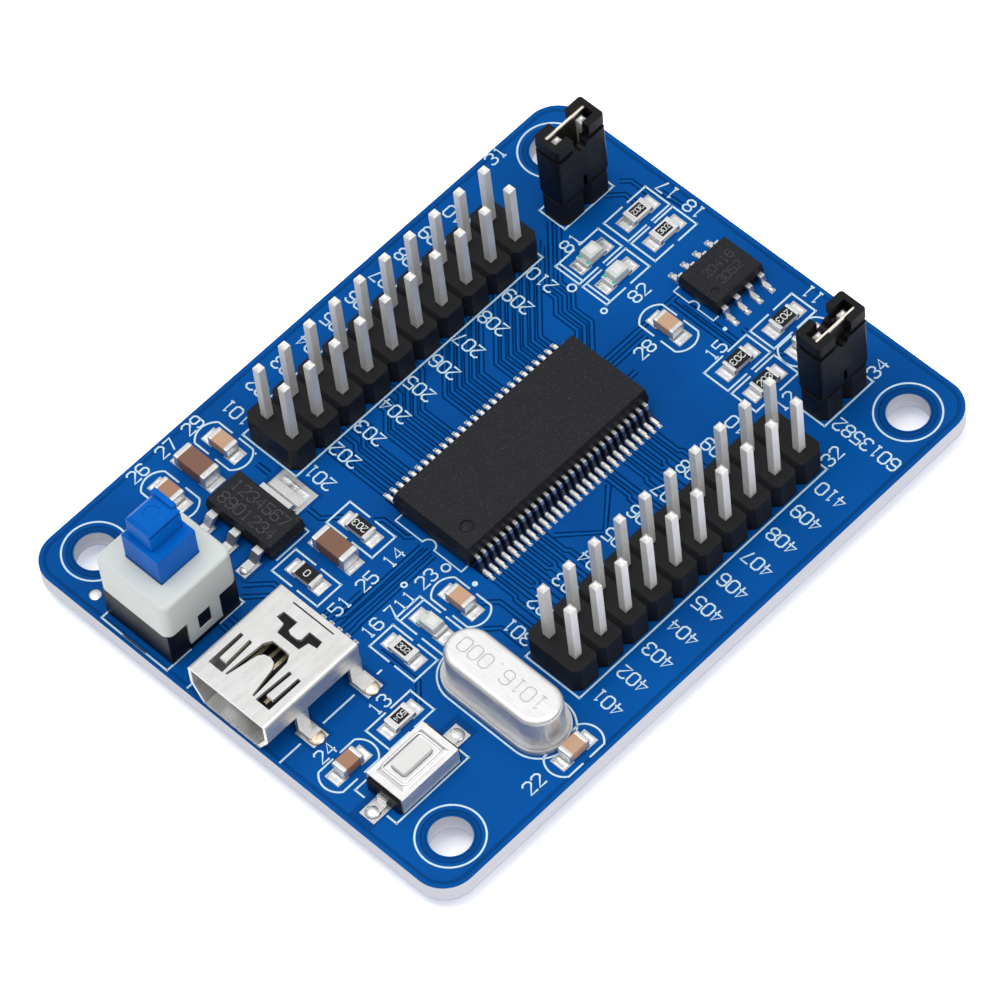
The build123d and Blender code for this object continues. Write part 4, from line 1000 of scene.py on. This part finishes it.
def loose_tracks():
    """The other tracks on the component side."""
    return [
        [(-0.85, -5.9), (1.72, -8.45), (4.8, -5.85)],
        [(-16.7, 1.62), (-15.9, 1.62), (-15.3, 0.98), (-13.2, 0.98)],
        [(-16.7, 0.82), (-15.95, 0.82), (-15.35, 0.5), (-7.7, 0.5)],
        [(-16.7, 0.0), (-7.5, -0.12)],
        [(-16.7, -0.8), (-15.6, -0.8), (-15.2, -0.72), (-7.7, -0.72)],
        [(-18.4, 7.7), (-16.9, 6.2), (-16.9, 2.6)],
        [(-19.2, 7.1), (-17.5, 5.4), (-17.5, 2.4)],
        [(-10.5, 14.3), (-10.5, 13.0)],
        [(-10.8, 9.2), (-10.8, 7.6), (-9.6, 6.4)],
        [(-8.4, 4.6), (-7.9, 4.1), (-7.9, 1.9), (-7.5, 1.5)],
        [(-9.8, -7.6), (-8.9, -8.5), (-8.9, -10.8)],
        [(-8.3, -6.0), (-7.4, -6.9), (-7.4, -10.9)],
        [(11.7, 1.72), (20.0, 1.72)],
        [(11.7, 0.98), (15.9, 0.98)],
        [(11.7, -0.62), (13.2, -0.62)],
        [(19.25, 1.72), (19.25, -4.3)],
        [(19.85, 0.9), (19.85, -4.3)],
        [(11.9, 2.5), (14.2, 4.8), (14.2, 6.6), (15.2, 7.6), (15.2, 8.9), (18.9, 12.6)],
        [(11.9, 3.25), (13.6, 4.95), (13.6, 6.9), (14.6, 7.9), (14.6, 9.2), (18.7, 13.3)],
        [(11.9, 4.0), (13.0, 5.1), (13.0, 7.2), (14.0, 8.2), (14.0, 9.5), (16.6, 12.1)],
        [(22.9, 11.9), (24.0, 10.8), (24.0, 9.7)],
        [(24.6, 11.9), (25.2, 11.3), (25.2, 8.9)],
        [(-21.8, 6.5), (-21.8, 5.0)],
        [(-20.9, 6.5), (-20.9, 5.0)],
        [(25.9, 9.0), (26.1, 6.4)],
        [(21.9, -8.1), (20.9, -7.1), (20.9, -3.9)],
        [(-17.2, -8.5), (-15.9, -7.2), (-15.9, -3.4)],
        [(-17.9, 4.9), (-17.3, 4.3)],
    ]


class OBJECT_OT_board_copper(bpy.types.Operator):
    """Give the board its mask, its tracks, the darker gaps round them and painted shade between the
    controller's leads
    """

    bl_idname = "object.board_copper"
    bl_label = "Board Copper"
    bl_options = {"REGISTER", "UNDO"}

    EDGE_INSET = 0.45            # from the board's edge to the line inside it
    EDGE_CORNER = 2.09

    def execute(self, context):
        sizes = context.scene.board_sizes
        dress("circuit_board", "board")
        tracks = controller_tracks() + loose_tracks()
        wide = sizes.gap_width / MM
        narrow = sizes.track_width / MM
        gap = finish_named("mask gap")
        gaps = [ribbons("mask_gaps", tracks, wide, FILM, 0, gap, rounded=False)]
        for spot, reach in self.cleared_places():
            gaps.append(self.patch(spot, reach, "mask gap"))
        # Painted shade: two near-black patches stand for the shadow under the controller's leads on both long
        # sides.
        for side in (-1, 1):
            spot = (CONTROLLER_X, CONTROLLER_Y + side * 4.35)
            gaps.append(self.patch(spot, (17.8, 1.5), "lead shade patch"))
        x, y = RIGHT - self.EDGE_INSET, REAR - self.EDGE_INSET
        edge = rounded_box(-x, -y, x, y, self.EDGE_CORNER, 10)
        gaps.append(ribbons("edge_line", [edge], 0.22, FILM, 0, gap))
        for x, y in HOLE_CENTRES:
            gaps.append(ribbons("hole_ring", [circle(x, y, 1.93, 48)], 0.42, FILM, 0, gap))
        finish_piece(join(gaps, "mask_gaps"))
        copper = ribbons("tracks", tracks, narrow, 0.016, 0.003, finish_named("track"))
        finish_piece(copper)
        return {"FINISHED"}

    def cleared_places(self):
        """Soldered places and how far the mask stays clear of them, millimetres."""
        return [
            ((-25.3, -12.15), (2.9, 2.1)), ((-17.45, -12.15), (2.9, 2.1)),
            ((-23.87, -4.6), (2.1, 2.4)), ((-18.48, -4.6), (2.1, 2.4)),
            ((-23.87, 4.55), (2.1, 2.4)), ((-18.48, 4.55), (2.1, 2.4)),
            ((-10.9, 10.85), (3.3, 4.2)), ((-17.0, 8.45), (2.6, 1.5)),
            ((-17.0, 10.8), (2.6, 1.5)), ((-17.0, 13.1), (2.6, 1.5)),
        ]

    def patch(self, spot, reach, finish):
        """A thin dark patch."""
        size = (reach[0], reach[1], 2 * LAYER_GAP)
        return add_block(size, (spot[0], spot[1], TOP), 0.003, finish_named(finish), 1)


def pad_list():
    """Every soldered pad on the component side: (x, y, length, width, turn)."""
    pads = []
    small = [name for name in NODES if name.startswith(("resistor_", "capacitor_", "zero_ohm"))]
    small += ["signal_led_1", "signal_led_2", "power_led"]
    for name in sorted(small):
        x, y = centre_of(name)
        reach, long, wide = (1.5, 1.25, 1.56) if name in LARGE_CAPACITORS else (1.17, 1.12, 1.34)
        for end in (-1, 1):
            if turn_of(name) == ALONG_Y:
                pads.append((x, y + end * reach, long, wide, 90 * end))
            else:
                pads.append((x + end * reach, y, long, wide, 0 if end > 0 else 180))
    return pads


def lead_pads():
    """Pads under the bent leads: (x, y, length, width, turn)."""
    pads = []
    for side in (-1, 1):
        for x in CONTROLLER_LEADS:
            pads.append((x, CONTROLLER_Y + side * 4.95, 1.05, 0.3, 90 * side))
        for index in range(4):
            x = MEMORY_X + MEMORY_PITCH * (index - 1.5)
            pads.append((x, MEMORY_Y + side * 2.85, 1.1, 0.44, 90 * side))
    for step in (-1, 0, 1):
        pads.append((-17.1, REGULATOR_Y + REGULATOR_PITCH * step, 1.7, 1.0, 180))
    pads.append((-25.2, -12.3, 2.0, 1.45, 180))
    pads.append((-17.6, -12.3, 2.0, 1.45, 0))
    for step in (-2, -1, 0, 1, 2):
        pads.append((-16.95, SOCKET_Y + SOCKET_CONTACT_PITCH * step, 1.2, 0.45, 0))
    return pads


def tab_pads():
    """Pads under the socket's four tabs: (x, y, length, width, turn)."""
    pads = []
    for x in SOCKET_TABS_X:
        for side in (-1, 1):
            pads.append((x, SOCKET_Y + side * 4.6, 1.9, 1.5, 90 * side))
    return pads


REGULATOR_TAB_PAD = (-10.6, REGULATOR_Y, 2.2, 3.5, 0)


class OBJECT_OT_board_pads(bpy.types.Operator):
    """Tinned pads and the solder that holds the surface parts"""

    bl_idname = "object.board_pads"
    bl_label = "Pads and Solder"
    bl_options = {"REGISTER", "UNDO"}

    def execute(self, context):
        template = add_block((1, 1, 0.04), (0, 0, 0), 0.012, finish_named("pad"), 1)
        pads = []
        for x, y, long, wide, turn in pad_list() + lead_pads() + tab_pads() + [REGULATOR_TAB_PAD]:
            pads.append(copy_to(template, place_on(x, y, 0.004, turn) @ stretch(long, wide, 1)))
        bpy.data.objects.remove(template)
        finish_piece(join(pads, "tinned_pads"))
        wedge = self.fillet()
        mound = self.mound()
        random.seed(11)
        solder = []
        for x, y, long, wide, turn in pad_list():
            solder.append(copy_to(wedge, self.beside_cap(x, y, long, wide, turn)))
        for x, y, long, wide, turn in lead_pads():
            solder.append(copy_to(mound, self.on_lead(x, y, long, wide, turn)))
        solder.append(copy_to(mound, place_on(-25.92, 15.02, 0.005) @ stretch(1.0, 1.0, 0.08)))
        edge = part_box("regulator_tab")[1].x / MM
        solder.append(copy_to(wedge, place_on(edge - 0.1, REGULATOR_Y, 0.02) @ stretch(0.75, 3.0, 0.3)))
        bpy.data.objects.remove(wedge)
        finish_piece(join(solder, "surface_solder"))
        mound.data.materials[0] = finish_named("tab solder")
        tabs = []
        for x, y, long, wide, turn in tab_pads():
            tabs.append(copy_to(mound, self.on_lead(x, y, long * 1.35, wide * 1.05, turn)))
        bpy.data.objects.remove(mound)
        finish_piece(join(tabs, "socket_tab_solder"))
        return {"FINISHED"}

    def fillet(self):
        """A sloped fillet, unit length from its cap at x 0 out to x 1, unit width and height."""
        start_clean()
        bpy.ops.mesh.primitive_cube_add(size=1, location=(0.5 * MM, 0, 0.5 * MM))
        piece = bpy.context.object
        piece.scale = (MM, MM, MM)
        settle(piece)
        pick([piece])
        for vertex in piece.data.vertices:
            vertex.select = vertex.co.x > 0.5 * MM and vertex.co.z > 0.5 * MM
        bpy.ops.object.mode_set(mode="EDIT")
        bpy.ops.mesh.select_mode(type="VERT")
        bpy.ops.transform.translate(value=(0, 0, -0.86 * MM))
        bpy.ops.mesh.select_all(action="SELECT")
        bpy.ops.mesh.subdivide(number_cuts=3)
        bpy.ops.object.mode_set(mode="OBJECT")
        for vertex in piece.data.vertices:
            run = vertex.co.x / MM
            if vertex.co.z > 0.1 * MM:
                sag = 0.55 * run * (1 - run)
                vertex.co.z = max(0.03 * MM, vertex.co.z - sag * MM)
                vertex.co.y *= 1 - 0.18 * run * run
        smooth = piece.modifiers.new("Wetted", "SUBSURF")
        smooth.levels = 1
        smooth.render_levels = 1
        bpy.ops.object.modifier_apply(modifier=smooth.name)
        bpy.ops.object.shade_smooth()
        piece.data.materials.append(finish_named("solder"))
        return piece

    def mound(self):
        """A low mound of solder, unit footprint and height."""
        start_clean()
        bpy.ops.mesh.primitive_uv_sphere_add(segments=12, ring_count=6, radius=0.5)
        piece = bpy.context.object
        piece.scale = (MM, MM, 2 * MM)
        settle(piece)
        pick([piece])
        bpy.ops.object.mode_set(mode="EDIT")
        bpy.ops.mesh.select_all(action="SELECT")
        bpy.ops.mesh.bisect(plane_co=(0, 0, 0), plane_no=(0, 0, 1), clear_inner=True, use_fill=True)
        bpy.ops.object.mode_set(mode="OBJECT")
        bpy.ops.object.shade_smooth()
        piece.data.materials.append(finish_named("solder"))
        return piece

    def beside_cap(self, x, y, long, wide, turn):
        """Matrix of a fillet against a chip part's end cap."""
        spot = self.moved(x, y, turn, long * -0.10)
        high = random.uniform(0.34, 0.52)
        run = long * 0.55 * random.uniform(0.9, 1.05)
        return place_on(*spot, 0.02, turn) @ stretch(run, wide * random.uniform(0.84, 0.94), high)

    def on_lead(self, x, y, long, wide, turn):
        """Matrix of a mound at a lead's toe."""
        spot = self.moved(x, y, turn, long * 0.16)
        high = min(0.26, 0.1 + 0.12 * wide) * random.uniform(0.8, 1.1)
        return place_on(*spot, 0.015, turn) @ stretch(long * 0.62, wide * 0.85, high)

    def moved(self, x, y, turn, distance):
        """A spot moved along a turned direction."""
        angle = math.radians(turn)
        return x + distance * math.cos(angle), y + distance * math.sin(angle)


class OBJECT_OT_board_resistors(bpy.types.Operator):
    """Chip resistors and the zero-ohm link, with glaze and plain numbers"""

    bl_idname = "object.board_resistors"
    bl_label = "Chip Resistors"
    bl_options = {"REGISTER", "UNDO"}

    NUMBERS = {
        "resistor_1": "203", "resistor_2": "203", "resistor_5": "203", "resistor_4": "203",
        "resistor_3": "504", "resistor_6": "302", "resistor_7": "302", "resistor_8": "302",
        "zero_ohm_link": "0",
    }
    WHITE_MARGIN = ("resistor_3", "resistor_6", "resistor_7", "resistor_8")
    UPSIDE_DOWN = ("resistor_1", "resistor_3", "resistor_5", "resistor_6", "resistor_7")

    def execute(self, context):
        for name, text in self.NUMBERS.items():
            bare = name in self.WHITE_MARGIN
            cap, glaze = (0.32, (1.12, 0.86, 0.03)) if bare else (0.26, (1.44, 1.21, 0.03))
            high, stroke = (0.41, 0.075) if bare else (0.52, 0.09)
            pieces = chip_body(SMALL_CHIP, 0.5, "ceramic", cap, 0.045)
            pieces.append(add_block(glaze, (0, 0, 0.515), 0.012, finish_named("glaze")))
            strokes = number(text, 0, 0, high, 180 if name in self.UPSIDE_DOWN else 0)
            pieces.append(ribbons("marks", strokes, stroke, FILM, 0.534 - TOP, finish_named("mark")))
            lay_down(pieces, name, "_chip", turn_of(name))
        return {"FINISHED"}


class OBJECT_OT_board_capacitors(bpy.types.Operator):
    """Chip capacitors with tan ceramic between plated ends"""

    bl_idname = "object.board_capacitors"
    bl_label = "Chip Capacitors"
    bl_options = {"REGISTER", "UNDO"}

    CERAMICS = {
        "capacitor_4": "warm tan", "capacitor_5": "tan", "capacitor_6": "warm tan", "capacitor_7": "tan",
    }

    def execute(self, context):
        for index in range(1, 10):
            name = f"capacitor_{index}"
            large = name in LARGE_CAPACITORS
            size, height, cap = (LARGE_CHIP, 1.3, 0.52) if large else (SMALL_CHIP, 0.95, 0.44)
            pieces = chip_body(size, height, self.CERAMICS.get(name, "pale tan"), cap, 0.13)
            lay_down(pieces, name, "_chip", turn_of(name))
        return {"FINISHED"}


class OBJECT_OT_board_leds(bpy.types.Operator):
    """Light emitting diodes: carrier, clear block, plated ends and green marks"""

    bl_idname = "object.board_leds"
    bl_label = "LEDs"
    bl_options = {"REGISTER", "UNDO"}

    def execute(self, context):
        for name in ("signal_led_1", "signal_led_2", "power_led"):
            pieces = [add_block((1.96, 1.22, 0.3), (0, 0, 0.2), 0.03, finish_named("resin"))]
            for end in (-1, 1):
                cap = ((0.34, 1.24, 0.34), (end * 0.83, 0, 0.2), 0.04)
                mark = ((0.3, 0.26, 0.03), (-0.74, end * 0.44, 0.38), 0.01)
                pieces.append(add_block(*cap, finish_named("cap end")))
                pieces.append(add_block(*mark, finish_named("green dot")))
            lens = add_block((1.44, 1.2, 0.45), (0.04, 0, 0.6), 0.05, finish_named("resin"))
            narrow_top(lens, 0.9, 0.92)
            pieces.append(lens)
            well = ((0.7, 0.66, 0.02), (0.08, 0, 0.818), 0.008)
            pieces.append(add_block(*well, finish_named("ceramic")))
            lay_down(pieces, name, "_lamp", -90 if name == "power_led" else 0)
        return {"FINISHED"}


class OBJECT_OT_board_headers(bpy.types.Operator):
    """Pin headers and the pull-off link caps"""

    bl_idname = "object.board_headers"
    bl_label = "Headers and Caps"
    bl_options = {"REGISTER", "UNDO"}

    def execute(self, context):
        shade(("header_a_housing", "header_b_housing", "link_housings"), "black nylon")
        shade(("header_a_pins", "header_b_pins", "link_pins"), "tin")
        shade(("link_a_cap", "link_b_cap"), "black gloss")
        shade(("link_a_contact", "link_b_contact"), "contact")
        return {"FINISHED"}


class OBJECT_OT_board_switch(bpy.types.Operator):
    """The push power switch"""

    bl_idname = "object.board_switch"
    bl_label = "Power Switch"
    bl_options = {"REGISTER", "UNDO"}

    def execute(self, context):
        dress("switch_base", "black gloss")
        dress("switch_cover", "white plastic")
        dress("switch_plunger", "blue plastic")
        shade(("switch_spring", "switch_latch_wire"), "spring")
        dress("switch_wipers", "brass")
        dress("switch_terminals", "tin")
        return {"FINISHED"}


class OBJECT_OT_board_socket(bpy.types.Operator):
    """The USB socket"""

    bl_idname = "object.board_socket"
    bl_label = "USB Socket"
    bl_options = {"REGISTER", "UNDO"}

    def execute(self, context):
        dress("usb_shell", "nickel")
        dress("usb_insulator", "black gloss")
        dress("usb_contacts", "gold")
        return {"FINISHED"}


class OBJECT_OT_board_crystal(bpy.types.Operator):
    """The quartz crystal and the plain number on its can"""

    bl_idname = "object.board_crystal"
    bl_label = "Quartz Crystal"
    bl_options = {"REGISTER", "UNDO"}

    def execute(self, context):
        shade(("crystal_can", "crystal_base"), "can")
        dress("crystal_leads", "tin")
        dress("crystal_blank", "quartz")
        x, y = centre_of("crystal_can")
        strokes = number("1016.000", x, y + 0.1, 1.2, 90)
        mark_top("crystal_can", "crystal_number", strokes, 0.09, 0.02, "grey mark")
        return {"FINISHED"}


class OBJECT_OT_board_reset(bpy.types.Operator):
    """The reset button"""

    bl_idname = "object.board_reset"
    bl_label = "Reset Button"
    bl_options = {"REGISTER", "UNDO"}

    def execute(self, context):
        dress("reset_base", "black gloss")
        dress("reset_cover", "cover")
        dress("reset_button", "button")
        dress("reset_dome", "spring")
        dress("reset_leads", "lead")
        low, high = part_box("reset_button")
        rim = 0.32
        line = rounded_box(
            low.x / MM - rim, low.y / MM - rim, high.x / MM + rim, high.y / MM + rim, 0.35, 6
        )
        mark_top("reset_cover", "reset_bezel", [line], 0.2, 0.09, "cover")
        return {"FINISHED"}


class OBJECT_OT_board_chips(bpy.types.Operator):
    """The controller, memory and regulator, with faint plain numbers"""

    bl_idname = "object.board_chips"
    bl_label = "Chips and Regulator"
    bl_options = {"REGISTER", "UNDO"}

    def execute(self, context):
        shade(("controller_body", "memory_body", "regulator_body"), "package")
        dress("controller_leads", "fine lead")
        shade(("memory_leads", "regulator_legs", "regulator_tab"), "lead")
        dress("through_hole_solder", "solder")
        x, y = centre_of("regulator_body")
        rows = number("1234567", x + 0.66, y, 0.92, -90) + number("8901234", x - 0.72, y, 0.92, -90)
        mark_top("regulator_body", "regulator_number", rows, 0.09, 0.01, "faint mark")
        x, y = centre_of("memory_body")
        rows = number("20416", x + 0.3, y + 0.55, 0.7) + number("3052", x + 0.3, y - 0.6, 0.7)
        mark_top("memory_body", "memory_number", rows, 0.09, 0.01, "faded mark")
        # Painted shade: a dark ring drawn at the rim of the pin-one dimple.
        ring = [circle(-5.4, -2.0, 0.5, 32)]
        mark_top("controller_body", "controller_dimple", ring, 0.07, 0.01, "dimple rim shade")
        return {"FINISHED"}


class OBJECT_OT_board_stage(bpy.types.Operator):
    """Pale floor, soft studio light and the camera"""

    bl_idname = "object.board_stage"
    bl_label = "Stage"
    bl_options = {"REGISTER", "UNDO"}

    SOFTBOX_SIZE = 0.3           # metres, as the places are
    KEY_PLACE = (-0.08, 0.06, 0.48)
    FILL_PLACE = (0.1, -0.32, 0.4)
    FLOOR_TONE = (0.94, 0.94, 0.94, 1)
    WHITE = (1, 1, 1, 1)

    def execute(self, context):
        stage = context.scene.board_stage
        start_clean()
        bpy.ops.mesh.primitive_plane_add(size=3, location=(0, 0, RESTING_HEIGHT))
        floor = bpy.context.object
        floor.name = "studio_floor"
        finish, _, shader, _ = blank_finish("Pale floor", 0.9)
        shader.inputs["Base Color"].default_value = self.FLOOR_TONE
        shader.inputs["Emission Color"].default_value = self.WHITE
        shader.inputs["Emission Strength"].default_value = stage.floor_glow
        floor.data.materials.append(finish)
        settle(floor)
        world = bpy.data.worlds.new("Studio")
        context.scene.world = world
        world.use_nodes = True
        self.room_glow(world.node_tree, stage.room_light)
        self.softbox("Key light", self.KEY_PLACE, stage.key_power)
        self.softbox("Fill light", self.FILL_PLACE, stage.fill_power)
        context.scene.view_settings.view_transform = "Standard"
        camera = bpy.data.cameras.new("Camera")
        camera.lens = stage.lens
        camera.sensor_width = 36
        camera.clip_start = 0.01
        viewer = bpy.data.objects.new("Camera", camera)
        context.scene.collection.objects.link(viewer)
        viewer.location = stage.camera_place
        viewer.rotation_euler = stage.camera_turn
        context.scene.camera = viewer
        return {"FINISHED"}

    def room_glow(self, tree, strength):
        """Bright ceiling that falls off to dim walls."""
        place = tree.nodes.new("ShaderNodeTexCoord")
        split = tree.nodes.new("ShaderNodeSeparateXYZ")
        tree.links.new(place.outputs["Generated"], split.inputs["Vector"])
        fall = tree.nodes.new("ShaderNodeMapRange")
        fall.interpolation_type = "SMOOTHSTEP"
        fall.inputs["From Min"].default_value = 0.05
        fall.inputs["From Max"].default_value = 0.75
        fall.inputs["To Min"].default_value = 0.3 * strength
        fall.inputs["To Max"].default_value = 1.25 * strength
        tree.links.new(split.outputs["Z"], fall.inputs["Value"])
        background = tree.nodes["Background"]
        background.inputs["Color"].default_value = self.WHITE
        tree.links.new(fall.outputs["Result"], background.inputs["Strength"])

    def softbox(self, name, place, power):
        """A square soft light aimed at the board."""
        lamp = bpy.data.lights.new(name, "AREA")
        lamp.energy = power
        lamp.size = self.SOFTBOX_SIZE
        light = bpy.data.objects.new(name, lamp)
        bpy.context.scene.collection.objects.link(light)
        light.location = place
        light.rotation_euler = (-Vector(place)).to_track_quat("-Z", "Y").to_euler()


class VIEW3D_PT_board(bpy.types.Panel):
    """Buttons and settings of the board's looks"""

    bl_idname = "VIEW3D_PT_board"
    bl_label = "Development Board"
    bl_space_type = "VIEW_3D"
    bl_region_type = "UI"
    bl_category = "Dev Board"

    def draw(self, context):
        layout = self.layout
        for operator in OPERATORS:
            layout.operator(operator.bl_idname)
        scene = context.scene
        for settings in (scene.board_colours, scene.board_sizes, scene.board_stage):
            box = layout.box()
            for name in settings.__annotations__:
                box.prop(settings, name)


OPERATORS = (
    OBJECT_OT_board_stage, OBJECT_OT_board_copper, OBJECT_OT_board_ink, OBJECT_OT_board_pads,
    OBJECT_OT_board_resistors, OBJECT_OT_board_capacitors, OBJECT_OT_board_leds, OBJECT_OT_board_headers,
    OBJECT_OT_board_switch, OBJECT_OT_board_socket, OBJECT_OT_board_crystal, OBJECT_OT_board_reset,
    OBJECT_OT_board_chips,
)
CLASSES = (BoardColours, BoardSizes, StageSettings) + OPERATORS + (VIEW3D_PT_board,)


def register():
    for item in CLASSES:
        bpy.utils.register_class(item)
    bpy.types.Scene.board_colours = bpy.props.PointerProperty(type=BoardColours)
    bpy.types.Scene.board_sizes = bpy.props.PointerProperty(type=BoardSizes)
    bpy.types.Scene.board_stage = bpy.props.PointerProperty(type=StageSettings)


def unregister():
    del bpy.types.Scene.board_stage
    del bpy.types.Scene.board_sizes
    del bpy.types.Scene.board_colours
    for item in reversed(CLASSES):
        bpy.utils.unregister_class(item)


def main():
    """Build everything in order."""
    register()
    bpy.ops.object.board_stage()
    bpy.ops.object.board_copper()
    bpy.ops.object.board_ink()
    bpy.ops.object.board_pads()
    bpy.ops.object.board_resistors()
    bpy.ops.object.board_capacitors()
    bpy.ops.object.board_leds()
    bpy.ops.object.board_headers()
    bpy.ops.object.board_switch()
    bpy.ops.object.board_socket()
    bpy.ops.object.board_crystal()
    bpy.ops.object.board_reset()
    bpy.ops.object.board_chips()
    start_clean()


if __name__ == "__main__":
    main()
